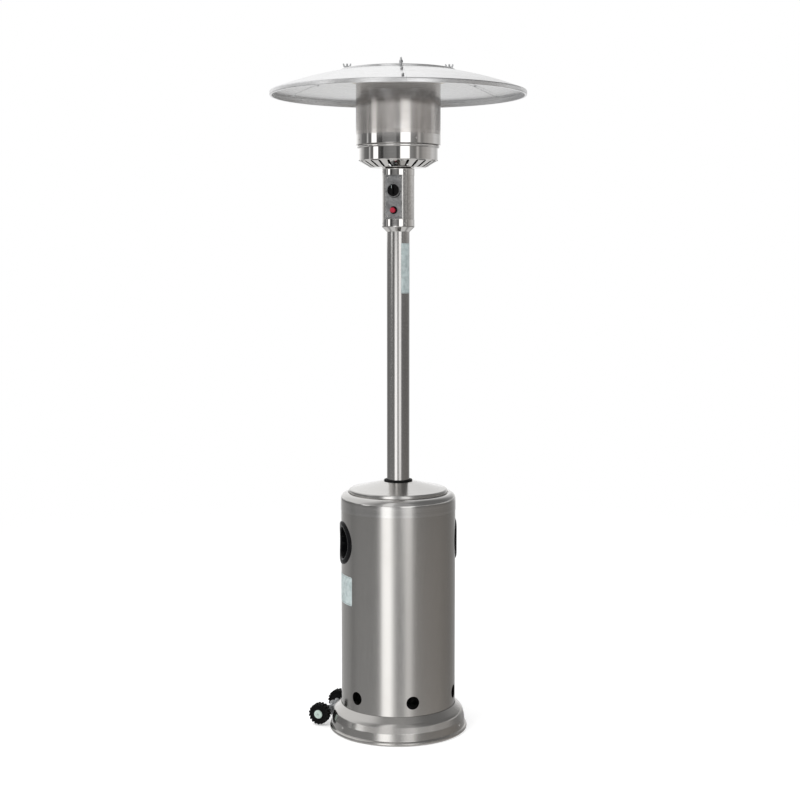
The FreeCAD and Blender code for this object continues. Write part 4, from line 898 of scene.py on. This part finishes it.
def label(name, radius, angle, arc, z_low, z_high, body, node):
    """A blank film label with rounded corners on a round wall, with a thin printed line near its top and bottom."""
    corner = 6.0 if arc > 60 else 3.0

    def plate(mesh, half, bottom, top, bend, skin):
        columns = 24
        evenly = {round(-half + 2 * half * k / columns, 3) for k in range(columns + 1)}
        xs = sorted(evenly | {round(x, 3) for x, z in corner_arcs(-half, half, bottom, top, bend, 6)})
        shell = {}
        for x in xs:
            inside = max(0.0, abs(x) - (half - bend))
            drop = bend - math.sqrt(max(0.0, bend ** 2 - inside ** 2))
            turn = math.radians(angle) + x / radius
            for level, z in (("top", top - drop), ("bottom", bottom + drop)):
                for face, out in (("out", radius + skin[1]), ("in", radius + skin[0])):
                    shell[(x, level, face)] = mesh.verts.new((out * math.cos(turn), out * math.sin(turn), z))

        def face_of(*keys):
            mesh.faces.new([shell[key] for key in keys])

        for one, two in zip(xs, xs[1:]):
            for level, other, face in (("top", "bottom", "out"), ("bottom", "top", "in")):
                face_of((one, level, face), (two, level, face), (two, other, face), (one, other, face))
            for level in ("top", "bottom"):
                face_of((one, level, "out"), (two, level, "out"), (two, level, "in"), (one, level, "in"))
        for x in (xs[0], xs[-1]):
            face_of((x, "top", "out"), (x, "bottom", "out"), (x, "bottom", "in"), (x, "top", "in"))

    film = bmesh.new()
    plate(film, arc / 2, z_low, z_high, corner, (0.03, 0.24))
    piece(name, film, body, "label_pale", [node], weld=0.001)
    ink = bmesh.new()
    inset = corner * 0.6
    wide = arc / 2 - inset
    for near, far in ((z_high - inset - 0.8, z_high - inset), (z_low + inset, z_low + inset + 0.8)):
        plate(ink, wide, near, far, 0.3, (0.2, 0.30))
    piece(name + "_border", ink, body, "label_ink", weld=0.001)


# ------------------------------------------------------------------ post
def post_tube():
    section = [
        Vector(p) for p in (
            (37.5, 1691.5), (37.5, 1690.0), (37.5, 1300.0), (37.5, 1000.0), (37.5, 757.5), (37.5, 756.0),
            (36.0, 756.0), (36.0, 1691.5),
        )
    ]
    return turned_piece("post", section, "stand", "post_steel", ["post_tube"])


# ------------------------------------------------------------------ control head
HEAD_R = 53.0
PANEL_Y = 43.6
PANEL_HALF = 28.33


def head_collar():
    outline = [(53.9, 1695.0), (53.9, 1671.0, 3.0), (39.1, 1656.5, 1.2), (38.5, 1655.5)]
    return turned_piece(
        "lower_head_ring", sheet_section(outline), "stand", "polished_stainless", ["head_collar"],
    )


def top_collar():
    outline = [(44.0, 1862.0), (53.9, 1862.0, 2.5), (53.9, 1840.0)]
    return turned_piece(
        "upper_head_ring", sheet_section(outline), "stand", "polished_stainless", ["top_collar"],
    )


def control_casing():
    """The round casing, open over the front panel, with its cut edges turned in."""
    mesh = bmesh.new()
    opening = math.degrees(math.asin(29.73 / HEAD_R))
    wall = [
        Vector(p) for p in (
            (HEAD_R, 1840.0), (HEAD_R, 1697.0), (HEAD_R - SHEET, 1697.0), (HEAD_R - SHEET, 1840.0),
        )
    ]
    spun(mesh, wall, around=150, start=-90.0 + opening, spread=360.0 - 2 * opening)
    for bottom, top in ((1672.0, 1697.0), (1840.0, 1859.0)):
        band = [
            Vector(p) for p in (
                (HEAD_R, top), (HEAD_R, bottom), (HEAD_R - SHEET, bottom), (HEAD_R - SHEET, top),
            )
        ]
        spun(mesh, band)
    for side in (-1, 1):
        turn = math.radians(-90.0 + side * opening)
        fold = extruded(mesh, [
            (0.0, 0.0), (
                -side * 1.0, 0.2,
            ), (-side * 1.2, 6.0), (-side * 0.4, 6.0), (-side * 0.2, 0.9), (0.0, 0.9),
        ], 142.0)
        spot = Matrix.Translation(((HEAD_R - 0.5) * math.cos(turn), (HEAD_R - 0.5) * math.sin(turn), 1697.5))
        bmesh.ops.transform(mesh, verts=fold, matrix=spot)
    return piece("head_casing", mesh, "stand", "casing_steel", ["control_casing"], weld=0.002)


def control_panel():
    """The folded front tray with rounded side folds, and a ledge at its top and bottom."""
    mesh = bmesh.new()
    bottom, top = 1697.3, 1839.7
    depth = 7.0
    bend = 2.2
    outer = rounded([
        (
            -PANEL_HALF, -PANEL_Y + depth,
        ), (-PANEL_HALF, -PANEL_Y, bend), (PANEL_HALF, -PANEL_Y, bend), (PANEL_HALF, -PANEL_Y + depth),
    ], 6)
    inner = offset(outer, -1.2)
    loop = outer + inner[::-1]
    extruded(mesh, [(p.x, p.y) for p in loop], top - bottom, Matrix.Translation((0.0, 0.0, bottom)))
    for height in (bottom, top - 1.2):
        edge = HEAD_R - 0.5
        reach = math.asin(PANEL_HALF / edge)
        arc = [(edge * math.sin(reach * k / 20), -edge * math.cos(reach * k / 20)) for k in range(-20, 21)]
        arc += [(PANEL_HALF, -PANEL_Y + 1.0), (-PANEL_HALF, -PANEL_Y + 1.0)]
        extruded(mesh, arc, 1.2, Matrix.Translation((0.0, 0.0, height)))
    return piece("front_panel", mesh, "stand", "panel_grey", ["control_panel"], weld=0.001)


def dial_marks():
    """A plain printed scale round the knob: a widening arc from small to large, with a dot at each end."""
    mesh = bmesh.new()
    front = Matrix.Translation((0.0, -PANEL_Y - 0.02, 1790.0)) @ POINT_FRONT
    steps = 28
    for k in range(steps):
        outline = []
        for j in (k, k + 1):
            turn = math.radians(200.0 + 140.0 * j / steps)
            wide = 0.5 + 2.4 * j / steps
            outline.append(((22.6, turn), (22.6 + wide, turn)))
        (a, b), (c, d) = outline
        spots = [(r * math.cos(t), r * math.sin(t)) for r, t in (a, b, d, c)]
        extruded(mesh, spots[::-1], 0.12, front)
    for angle, size in ((188.0, 1.1), (352.0, 1.9), (90.0, 1.3)):
        x, y = 24.6 * math.cos(math.radians(angle)), 24.6 * math.sin(math.radians(angle))
        spots = [
            (
                x + size * math.cos(math.radians(30 * k)), y + size * math.sin(math.radians(30 * k)),
            ) for k in range(12)
        ]
        extruded(mesh, spots, 0.12, front)
    return piece("dial_scale", mesh, "stand", "black_plastic", weld=0.0005)


def control_knob():
    """A moulded knob: skirted base with fine flutes, a crowned grip bar and a pale pointer line."""
    mesh = bmesh.new()
    section = rounded(
        [(0.0, 9.0), (16.4, 9.0, 1.6), (17.8, 4.0, 1.0), (19.5, 3.4, 1.0), (19.5, 0.0), (3.3, 0.0)], 4,
    )
    spun(mesh, section, closed=False, around=96)
    for k in range(36):
        flute = extruded(mesh, [(16.6, -0.55), (18.0, -0.4), (18.0, 0.4), (16.6, 0.55)], 4.2)
        bmesh.ops.transform(mesh, verts=flute, matrix=at_angle(10.0 * k, 0.0, 3.6))
    bar = []
    for share, height in ((0.0, 8.0), (0.0, 14.2), (0.35, 16.2), (0.7, 17.0)):
        half_wide = 4.0 - 1.4 * share
        half_long = 17.0 - 1.3 * share
        outline = corner_arcs(-half_wide, half_wide, -half_long, half_long, 1.8, 4)
        bar.append([mesh.verts.new((x, y, height)) for x, y in outline])
    for one, two in zip(bar, bar[1:]):
        bridge(mesh, one, two)
    mesh.faces.new(bar[-1])
    place = Matrix.Translation((0.0, -48.1, 1790.0)) @ POINT_FRONT
    bmesh.ops.transform(mesh, verts=mesh.verts, matrix=place)
    piece("gas_knob", mesh, "knob", "black_plastic", ["control_knob"], weld=0.001)
    line = bmesh.new()
    extruded(
        line, [(-0.6, 6.0), (0.6, 6.0), (0.6, 15.0), (-0.6, 15.0)], 0.15,
        place @ Matrix.Translation((0.0, 0.0, 16.98)),
    )
    piece("gas_knob_pointer", line, "knob", "label_pale", weld=0.0005)


def igniter():
    """A moulded bezel and a domed red button in it."""
    place = Matrix.Translation((0.0, -PANEL_Y, 1725.7)) @ POINT_FRONT
    mesh = bmesh.new()
    spun(
        mesh,
        closed_section(
            [(8.9, 0.1), (12.5, 0.1), (12.5, 3.0, 1.4), (11.0, 4.5, 1.0), (9.6, 4.5, 0.6), (8.9, 3.4, 0.4)]
        ),
        around=64,
    )
    bmesh.ops.transform(mesh, verts=mesh.verts, matrix=place)
    piece("igniter_surround", mesh, "stand", "black_plastic", ["igniter_bezel"])
    mesh = bmesh.new()
    spun(
        mesh,
        rounded(
            [
                (0.0, 14.6), (4.6, 14.8, 6.0), (6.6, 15.0, 1.2), (8.5, 13.6, 1.6), (8.5, 0.0), (4.0, 0.0),
                (4.0, -18.0), (0.0, -18.0),
            ],
            5,
        ),
        closed=False, around=64,
    )
    bmesh.ops.transform(mesh, verts=mesh.verts, matrix=place)
    piece("igniter_push_knob", mesh, "igniter_push_button", "red_plastic", ["igniter_button"])


# ------------------------------------------------------------------ burner
def bowl_line():
    """The bowl's lower, outer face, from the axis outward and up."""
    return rounded([
        (15.1, 1862.9), (89.0, 1864.0, 26.0), (125.6, 1885.5, 5.0), (129.1, 1896.0, 6.0), (129.1, 1925.0),
    ], 8)


def burner_bowl():
    """The pressed bowl with its ring of open radial slots."""
    mesh = bmesh.new()
    line = bowl_line()
    slots, first_slot = 24, 5.0
    slot_middle, slot_straight, slot_half = 106.0, 14.0, 4.5
    side_scale = 100.0  # a slot's share of the ring runs from -100 to 100 across
    cells = 12
    near, far = 84.0, 126.4

    def height(out):
        for one, two in zip(line, line[1:]):
            if one.x <= out <= two.x:
                return one.y + (two.y - one.y) * (out - one.x) / (two.x - one.x)
        return line[-1].y

    def inner_face(spot):
        """Above a spot of the slope by the sheet's thickness, or inside a spot of the upright wall."""
        if spot.x <= far + 0.01:
            return Vector((spot.x, spot.y + SHEET))
        return Vector((spot.x - SHEET * 0.9, spot.y + 0.1))

    tops = []
    for lift in (0.0, SHEET):
        rims = []
        for k in range(slots):
            middle = math.radians(360.0 / slots * k + first_slot)
            half = math.pi / slots

            def to_space(out, side, middle=middle, half=half, lift=lift):
                turn = middle + half * side / side_scale
                spot = Vector((out * math.cos(turn), out * math.sin(turn)))
                return (spot.x, spot.y, height(out) + lift)

            def slot_reach(way, half=half):
                """How far the slot's edge is from its middle, in a direction. It is found by halving."""
                inside, outside = 0.0, 60.0
                for _ in range(18):
                    trial = (inside + outside) / 2
                    out = slot_middle + way.x * trial
                    side = out * half * way.y * trial / side_scale
                    spill = max(abs(out - slot_middle) - slot_straight, 0.0)
                    if spill ** 2 + side ** 2 < slot_half ** 2:
                        inside = trial
                    else:
                        outside = trial
                return inside

            rims.append(holed_patch(
                mesh, (near, far), (-side_scale, side_scale), (cells, cells), (slot_middle, 0.0), slot_reach, 3,
                to_space, lift > 0,
            ))
        tops.append(rims)
    for lower, upper in zip(*tops):
        bridge(mesh, lower, upper)
    around = slots * cells
    inner = [p for p in line if p.x < near - 0.5] + [Vector((near, height(near)))]
    outer = [Vector((far, height(far)))] + [p for p in line if p.x > far + 0.2 or p.y > height(far) + 0.5]
    for part in (inner, outer):
        for lift in (0.0, SHEET):
            run = part if lift == 0.0 else [inner_face(spot) for spot in part]
            spun(mesh, run, closed=False, around=around)
    bmesh.ops.remove_doubles(mesh, verts=mesh.verts, dist=0.03)
    return piece("burner_bowl_pressing", mesh, "stand", "burner_polished", ["burner_bowl"], weld=0.02)


def bands():
    lower = [(130.0, 1926.9), (130.0, 1888.0)]
    turned_piece("lower_burner_band", sheet_section(lower), "stand", "burner_polished", ["lower_band"])
    bead = closed_section([
        (129.0, 1927.2, 0.5), (
            132.4, 1927.2, 1.5,
        ), (135.5, 1929.0, 2.4), (135.5, 1935.0, 2.4), (132.4, 1936.8, 1.5), (129.0, 1936.8, 0.5),
    ], 6)
    turned_piece("band_ring", bead, "stand", "polished_stainless", ["band_bead"])
    upper = [(139.5, 1970.0), (139.5, 1937.0, 1.0), (131.0, 1937.0)]
    turned_piece("upper_burner_band", sheet_section(upper), "stand", "burner_polished", ["upper_band"])


def emitter_screen():
    """The perforated sheet: rows of round holes set between each other, each in its own hexagon."""
    mesh = bmesh.new()
    radius = 138.6
    across = 136
    pitch = 2 * math.pi / across
    rise = pitch * radius * math.sqrt(3) / 2
    bottom, top = 1940.0, 2150.0
    rows = 28
    margin = (top - bottom - 30.0 - rows * rise) / 2
    first = bottom + 30.0 + margin + rise / 2
    hole = 1.45
    corner = pitch * radius / math.sqrt(3)
    rims = []
    for depth in (0.0, SHEET):
        out = radius - depth
        loops = []
        for row in range(rows):
            for k in range(across):
                turn = pitch * (k + 0.5 * (row % 2))
                level = first + rise * row
                rim, cell = [], []
                for j in range(6):
                    way = math.radians(60.0 * j + 30.0)
                    for target, size in ((rim, hole), (cell, corner)):
                        angle = turn + size * math.cos(way) / radius
                        target.append(
                            mesh.verts.new(
                                (out * math.cos(angle), out * math.sin(angle), level + size * math.sin(way))
                            )
                        )
                for j in range(6):
                    nxt = (j + 1) % 6
                    face = (rim[j], cell[j], cell[nxt], rim[nxt])
                    mesh.faces.new(face if depth == 0.0 else face[::-1])
                loops.append(rim)
        rims.append(loops)
    for outer, inner in zip(*rims):
        bridge(mesh, outer[::-1], inner[::-1])
    bmesh.ops.remove_doubles(mesh, verts=mesh.verts, dist=0.02)
    plain_low, plain_high = first - rise / 2, first + rise * (rows - 0.5)
    for band in ((plain_low + 0.6, bottom), (top, plain_high - 0.6)):
        section = sheet_section([(radius + 0.02, band[0]), (radius + 0.02, band[1])], SHEET + 0.04)
        spun(mesh, section, around=across * 2)
    return piece(
        "perforated_screen", mesh, "stand", "screen_steel", ["emitter_screen"], sharp=40.0, weld=0.0005,
    )


# ------------------------------------------------------------------ reflector
DOME_TOP = 2190.0
LIP_TOP, LIP_LOW = 2111.0, 2097.0
REFLECTOR_R = 419.94
SEAMS = [-66.5 + 120.0 * k for k in range(3)]


def dome_up(out):
    dome = (REFLECTOR_R ** 2 + 79.0 ** 2) / (2 * 79.0)
    return DOME_TOP - dome + math.sqrt(dome ** 2 - out ** 2)


def dome_line(near, far, count, lift=0.0):
    return [
        Vector(
            (near + (far - near) * k / count, dome_up(near + (far - near) * k / count) + lift)
        ) for k in range(count + 1)
    ]


def reflector_panels():
    """Three dome panels with folded rims. Each runs under the one before it at a stepped lap."""
    slope = dome_line(120.0, 404.0, 20)
    rim = rounded(
        [tuple(slope[-1]), (REFLECTOR_R, LIP_TOP + 0.3, 3.5), (REFLECTOR_R, LIP_LOW, 2.2), (413.0, LIP_LOW)], 6,
    )
    outer = slope[:-1] + rim
    inner = offset(outer, SHEET)
    far = (outer[-1] + inner[-1]) / 2 + Vector((-0.25, 0.0))
    near = (outer[0] + inner[0]) / 2 + Vector((-0.25, 0.0))
    section = outer + [far] + inner[::-1] + [near]
    for number, seam in enumerate(SEAMS, 1):
        mesh = bmesh.new()
        spun(mesh, section, around=72, start=seam, spread=119.9)
        step = SHEET + 0.1
        for top, bottom, start, spread in (
            (0.4, SHEET + step, seam, 0.6), (step, SHEET + step, seam - 3.0, 3.3),
        ):
            strip = dome_line(120.0, 406.0, 16, -top) + dome_line(406.0, 120.0, 16, -bottom)
            spun(mesh, strip, around=4, start=start, spread=spread)
        piece(
            f"reflector_third_{number}", mesh, "stand", "reflector_aluminium", [f"reflector_panel_{number}"],
            weld=0.0005,
        )


def reflector_disc():
    top = dome_line(0.0, 182.0, 16, 6.0)
    rim = rounded([tuple(top[-1]), (190.0, dome_up(190.0) + 5.9, 2.5), (190.0, dome_up(190.0) + 0.4)], 6)
    outer = top[:-1] + rim
    inner = offset(outer, SHEET)
    far = (outer[-1] + inner[-1]) / 2 + Vector((0.0, -0.2))
    mesh = bmesh.new()
    spun(mesh, outer + [far] + inner[::-1], closed=False)
    return piece("reflector_centre", mesh, "stand", "reflector_aluminium", ["reflector_disc"])


def stud_angles():
    return [-67.0 + 90.0 * k for k in range(4)]


def wing_nuts():
    """Cast wing nuts: a tapered hub with a rolled foot and two swept wings."""
    mesh = bmesh.new()
    seat = dome_up(167.0) + 6.0 + 1.3
    for angle in stud_angles():
        place = at_angle(angle, 167.0, seat)
        spun(
            mesh, closed_section([(3.1, 0.2), (6.8, 0.2, 0.6), (6.6, 1.6, 0.5), (5.2, 9.0, 1.0), (3.1, 9.0)]),
            around=40, place=place,
        )
        wing = [
            (4.2, 1.4), (7.4, 2.2), (10.2, 4.4), (12.4, 8.0), (
                13.7, 12.4,
            ), (13.9, 15.0), (12.9, 16.6), (11.2, 16.9),
            (9.6, 15.8), (8.6, 13.0), (7.2, 9.8), (5.6, 8.2), (4.2, 7.8),
        ]
        for side in (0.0, 180.0):
            stand = place @ Matrix.Rotation(
                math.radians(side), 4, "Z",
            ) @ Matrix.Translation((0.0, 1.2, 0.0)) @ Matrix.Rotation(math.radians(90.0), 4, "X")
            extruded(mesh, wing, 2.4, stand)
    return piece("cast_wing_nuts", mesh, "stand", "zinc_steel", ["wing_nuts"], bevel=0.5, weld=0.0005)


# ------------------------------------------------------------------ the whole heater
def build():
    base_skirt()
    sheet_screws()
    for side, body, end in ((-1, "front_wheel", "front"), (1, "rear_wheel", "rear")):
        wheel(side, body, "wheel_" + end, "tyre_" + end)
        hub_cap(side, body, "hub_cap_" + end, "hub_" + end)
    housing_shell()
    housing_cap()
    post_grommet()
    grip("left")
    grip("right")
    label("housing_plate", HOUSING_R, -145.5, 150.0, 432.0, 527.0, "housing", "housing_label")
    label("post_plate", 37.5, -25.0, 39.0, 1454.0, 1618.0, "stand", "post_label")
    post_tube()
    head_collar()
    top_collar()
    control_casing()
    control_panel()
    dial_marks()
    control_knob()
    igniter()
    burner_bowl()
    bands()
    emitter_screen()
    reflector_panels()
    reflector_disc()
    wing_nuts()


def dress_cad_nodes():
    """Gives every CAD node that still shows the node-built finish of its slot."""
    slots = {row["node"]: row["material_slot"] for row in frame["record"]["subparts"]}
    for name, obj in NODES.items():
        obj.data.materials.clear()
        obj.data.materials.append(FINISH[slots[name]])
        for face in obj.data.polygons:
            face.material_index = 0


# ------------------------------------------------------------------ studio
def wall_ramp(tree, share, stops):
    """A ring of light round the heater: brightness by direction, in degrees from the studio's front."""
    node = tree.nodes.new("ShaderNodeValToRGB")
    ramp = node.color_ramp
    ramp.interpolation = "EASE"
    while len(ramp.elements) > 1:
        ramp.elements.remove(ramp.elements[-1])
    for k, (angle, light, tint) in enumerate(stops):
        place = (angle + 180.0) / 360.0
        element = ramp.elements[0] if k == 0 else ramp.elements.new(place)
        element.position = place
        element.color = (light * (1.0 + tint), light, light * (1.0 - tint), 1.0)
    tree.links.new(share, node.inputs["Fac"])
    return node.outputs["Color"]


FRONT_ANGLE = -70.0  # the studio's front, where the camera stands, as a plan angle
MIRRORED = 1.35  # strength of the rings that metal mirrors
SOFT = 0.85  # strength of the light on matt faces
SEEN = 1.0  # strength of the background


def studio_world():
    """White to the eye and to matt faces. Metal mirrors six rings of light instead.

    The rings aren't a plain studio. Their steps were tuned for the main view, a ring for each part of the
    heater as the main camera sees it reflected, so from other places the reflections fall differently.
    """
    world = bpy.data.worlds.new("studio")
    bpy.context.scene.world = world
    world.use_nodes = True
    world.cycles.sampling_method = "NONE"
    tree = world.node_tree
    tree.nodes.clear()
    way = add(tree, "TexCoord").outputs["Generated"]
    parts = add(tree, "SeparateXYZ", {0: way})
    turn = add(tree, "VectorRotate", {"Vector": way}, rotation_type="Z_AXIS")
    turn.inputs["Angle"].default_value = -math.radians(FRONT_ANGLE)
    spun_parts = add(tree, "SeparateXYZ", {0: turn.outputs[0]})
    angle = maths(tree, "ARCTAN2", spun_parts.outputs["Y"], spun_parts.outputs["X"])
    share = maths(tree, "ADD", maths(tree, "DIVIDE", angle, 2 * math.pi), 0.5)
    rise = maths(tree, "ARCSINE", parts.outputs["Z"])

    housing = wall_ramp(tree, share, [
        (
            -180, 0.60, 0.0,
        ), (-165, 0.50, 0.0), (-150, 0.32, 0.0), (-135, 0.28, 0.0), (-120, 0.24, 0.0), (-105, 0.17, 0.0),
        (
            -88, 0.205, 0.0,
        ), (-55, 0.205, 0.0), (-44, 0.22, 0.0), (-37, 0.32, 0.0), (-30, 1.15, 0.0), (-16, 1.2, 0.0),
        (-9, 0.58, 0.0), (-3, 0.29, 0.0), (5, 0.255, 0.0), (11, 0.33, 0.0), (
            17, 0.56, 0.01,
        ), (25, 0.54, 0.01), (31, 0.29, 0.02),
        (38, 0.21, 0.03), (60, 0.19, 0.05), (85, 0.18, 0.06), (
            110, 0.155, 0.06,
        ), (125, 0.15, 0.04), (140, 0.19, 0.02),
        (155, 0.23, 0.0), (168, 0.40, 0.0), (180, 0.60, 0.0),
    ])
    post = wall_ramp(tree, share, [
        (
            -180, 0.70, 0.0,
        ), (-165, 0.60, 0.0), (-148, 0.22, 0.0), (-120, 0.13, 0.0), (-87, 0.16, 0.0), (-60, 0.15, 0.0),
        (
            -45, 0.13, 0.0,
        ), (-38, 0.34, 0.0), (-31, 1.1, 0.0), (-17, 1.2, 0.0), (-9, 0.45, 0.0), (-1, 0.30, 0.0), (4, 0.36, 0.0),
        (9, 0.90, 0.0), (24, 0.90, 0.0), (31, 0.30, 0.0), (38, 0.13, 0.0), (70, 0.12, 0.02), (
            110, 0.125, 0.03,
        ), (130, 0.17, 0.0),
        (150, 0.35, 0.0), (165, 0.7, 0.0), (180, 0.70, 0.0),
    ])
    bands_ring = wall_ramp(tree, share, [
        (-180, 1.0, 0.0), (
            -148, 0.85, 0.0,
        ), (-136, 0.55, 0.0), (-125, 0.36, 0.0), (-112, 0.15, 0.0), (-96, 0.12, 0.0),
        (-91, 0.50, 0.0), (
            -86, 0.13, 0.0,
        ), (-78, 0.13, 0.0), (-75, 1.3, 0.0), (-62, 1.3, 0.0), (-59, 0.09, 0.0), (-46, 0.04, 0.0),
        (
            -41, 0.15, 0.0,
        ), (-20, 0.20, 0.0), (-8, 0.20, 0.0), (-2, 0.09, 0.0), (4, 0.12, 0.0), (8, 1.3, 0.0), (31, 1.3, 0.0),
        (35, 0.22, 0.0), (50, 0.16, 0.02), (58, 0.40, 0.02), (66, 0.19, 0.02), (80, 0.30, 0.03), (
            100, 0.40, 0.02,
        ),
        (118, 0.54, 0.0), (140, 0.44, 0.0), (160, 0.60, 0.0), (180, 1.0, 0.0),
    ])
    emitter = wall_ramp(tree, share, [
        (
            -180, 0.55, 0.0,
        ), (-155, 0.42, 0.0), (-136, 0.34, 0.0), (-115, 0.21, 0.0), (-98, 0.19, 0.0), (-84, 0.22, 0.0),
        (-76, 0.38, 0.0), (
            -68, 0.52, 0.01,
        ), (-48, 0.56, 0.01), (-22, 0.52, 0.01), (-8, 0.52, 0.01), (2, 0.60, 0.0), (9, 0.80, 0.0),
        (15, 1.15, 0.0), (26, 1.15, 0.0), (33, 0.80, 0.0), (
            40, 0.52, 0.02,
        ), (55, 0.34, 0.04), (80, 0.24, 0.04), (98, 0.19, 0.03),
        (
            105, 0.50, 0.0,
        ), (114, 0.50, 0.0), (121, 0.17, 0.0), (145, 0.19, 0.0), (162, 0.34, 0.0), (180, 0.55, 0.0),
    ])
    ceiling = wall_ramp(tree, share, [
        (
            -180, 0.74, 0.0,
        ), (-155, 0.72, 0.0), (-135, 0.62, 0.0), (-95, 0.60, 0.0), (-60, 0.35, 0.0), (-45, 0.20, 0.0),
        (-36, 0.25, 0.0), (
            -29, 0.70, 0.0,
        ), (-14, 0.70, 0.0), (-6, 0.30, 0.0), (10, 0.27, 0.0), (25, 0.32, 0.0), (38, 0.17, 0.0),
        (60, 0.13, 0.0), (115, 0.13, 0.0), (140, 0.22, 0.0), (158, 0.45, 0.0), (180, 0.74, 0.0),
    ])
    ground = wall_ramp(tree, share, [
        (
            -180, 0.56, 0.0,
        ), (-140, 0.54, 0.0), (-120, 0.16, 0.0), (120, 0.16, 0.0), (140, 0.54, 0.0), (180, 0.56, 0.0),
    ])
    grey = (0.26, 0.26, 0.26)
    pale = (0.52, 0.52, 0.515)
    rim = (0.85, 0.85, 0.85)
    around = housing
    for start, stop, light in (
        (-10.0, -8.6, post), (
            0.2, 1.0, bands_ring,
        ), (4.50, 4.62, emitter), (6.20, 6.45, rim), (7.0, 8.5, ceiling),
        (62.0, 76.0, grey), (-20.0, -25.0, pale), (-34.0, -40.0, ground), (-52.0, -62.0, pale),
    ):
        around = mixed(tree, remap(tree, rise, math.radians(start), math.radians(stop)), around, light)

    ray = add(tree, "LightPath")
    shiny = add(tree, "Background", {"Color": around}, Strength=MIRRORED)
    soft = add(tree, "Background", Color=(1.0, 1.0, 1.0, 1.0), Strength=SOFT)
    white = add(tree, "Background", Color=(1.0, 1.0, 1.0, 1.0), Strength=SEEN)
    lit = add(tree, "MixShader", {0: ray.outputs["Is Diffuse Ray"], 1: shiny.outputs[0], 2: soft.outputs[0]})
    seen = add(tree, "MixShader", {0: ray.outputs["Is Camera Ray"], 1: lit.outputs[0], 2: white.outputs[0]})
    end = tree.nodes.new("ShaderNodeOutputWorld")
    tree.links.new(seen.outputs[0], end.inputs["Surface"])


def studio_floor():
    """A pale floor that fades into the white backdrop."""
    mesh = bmesh.new()
    radius = 6000.0
    spun(
        mesh, [Vector((0.0, -0.4)), Vector((900.0, -0.4)), Vector((2500.0, -0.4)), Vector((radius, -0.4))],
        closed=False, around=96,
    )
    bmesh.ops.remove_doubles(mesh, verts=mesh.verts, dist=0.01)
    bmesh.ops.scale(mesh, vec=(MM, MM, MM), verts=mesh.verts)
    data = bpy.data.meshes.new("studio_floor")
    mesh.to_mesh(data)
    mesh.free()
    floor = bpy.data.objects.new("studio_floor", data)
    bpy.context.scene.collection.objects.link(floor)
    floor.visible_glossy = False
    material = bpy.data.materials.new("pale floor")
    material.use_nodes = True
    tree = material.node_tree
    shader = tree.nodes["Principled BSDF"]
    shader.inputs["Base Color"].default_value = (0.92, 0.92, 0.92, 1.0)
    shader.inputs["Roughness"].default_value = 0.9
    shader.inputs["Specular IOR Level"].default_value = 0.0
    shader.inputs["Emission Color"].default_value = (1.0, 1.0, 1.0, 1.0)
    shader.inputs["Emission Strength"].default_value = 0.35
    place = add(tree, "TexCoord")
    out = add(tree, "VectorMath", {0: place.outputs["Object"]}, operation="LENGTH")
    fade = remap(tree, out.outputs["Value"], 1.2, 4.5)
    clear = tree.nodes.new("ShaderNodeBsdfTransparent")
    blend = add(tree, "MixShader", {0: fade, 1: shader.outputs[0], 2: clear.outputs[0]})
    tree.links.new(blend.outputs[0], tree.nodes["Material Output"].inputs["Surface"])
    data.materials.append(material)


def studio_light():
    """One large soft lamp high on the left. Metal doesn't mirror it: it mirrors the rings of the world."""
    lamp = bpy.data.lights.new("soft key", "AREA")
    lamp.shape = "RECTANGLE"
    lamp.size, lamp.size_y = 2.4, 2.4
    lamp.energy = 90.0
    obj = bpy.data.objects.new("soft_key", lamp)
    bpy.context.scene.collection.objects.link(obj)
    obj.location = (-1.6, -3.4, 4.2)
    obj.rotation_euler = (Vector((0.0, 0.0, 0.9)) - obj.location).to_track_quat("-Z", "Y").to_euler()
    obj.visible_glossy = False
    obj.visible_camera = False


def studio_camera():
    """Stands 20 degrees round to the right of the control panel, at eye height, tipped slightly down."""
    lens = bpy.data.cameras.new("camera")
    lens.sensor_width = 36.0
    lens.lens = 67.6
    lens.shift_x = 0.0022
    lens.shift_y = -0.05
    lens.clip_end = 60.0
    camera = bpy.data.objects.new("camera", lens)
    bpy.context.scene.collection.objects.link(camera)
    camera.location = (1.696, -4.661, 1.590)
    pitch = math.radians(4.12)
    heading = Vector((-camera.location.x, -camera.location.y, 0.0)).normalized() * math.cos(pitch)
    heading.z = -math.sin(pitch)
    camera.rotation_euler = heading.to_track_quat("-Z", "Y").to_euler()
    bpy.context.scene.camera = camera


build()
dress_cad_nodes()
studio_world()
studio_floor()
studio_light()
studio_camera()
bpy.context.scene.view_settings.view_transform = "Standard"
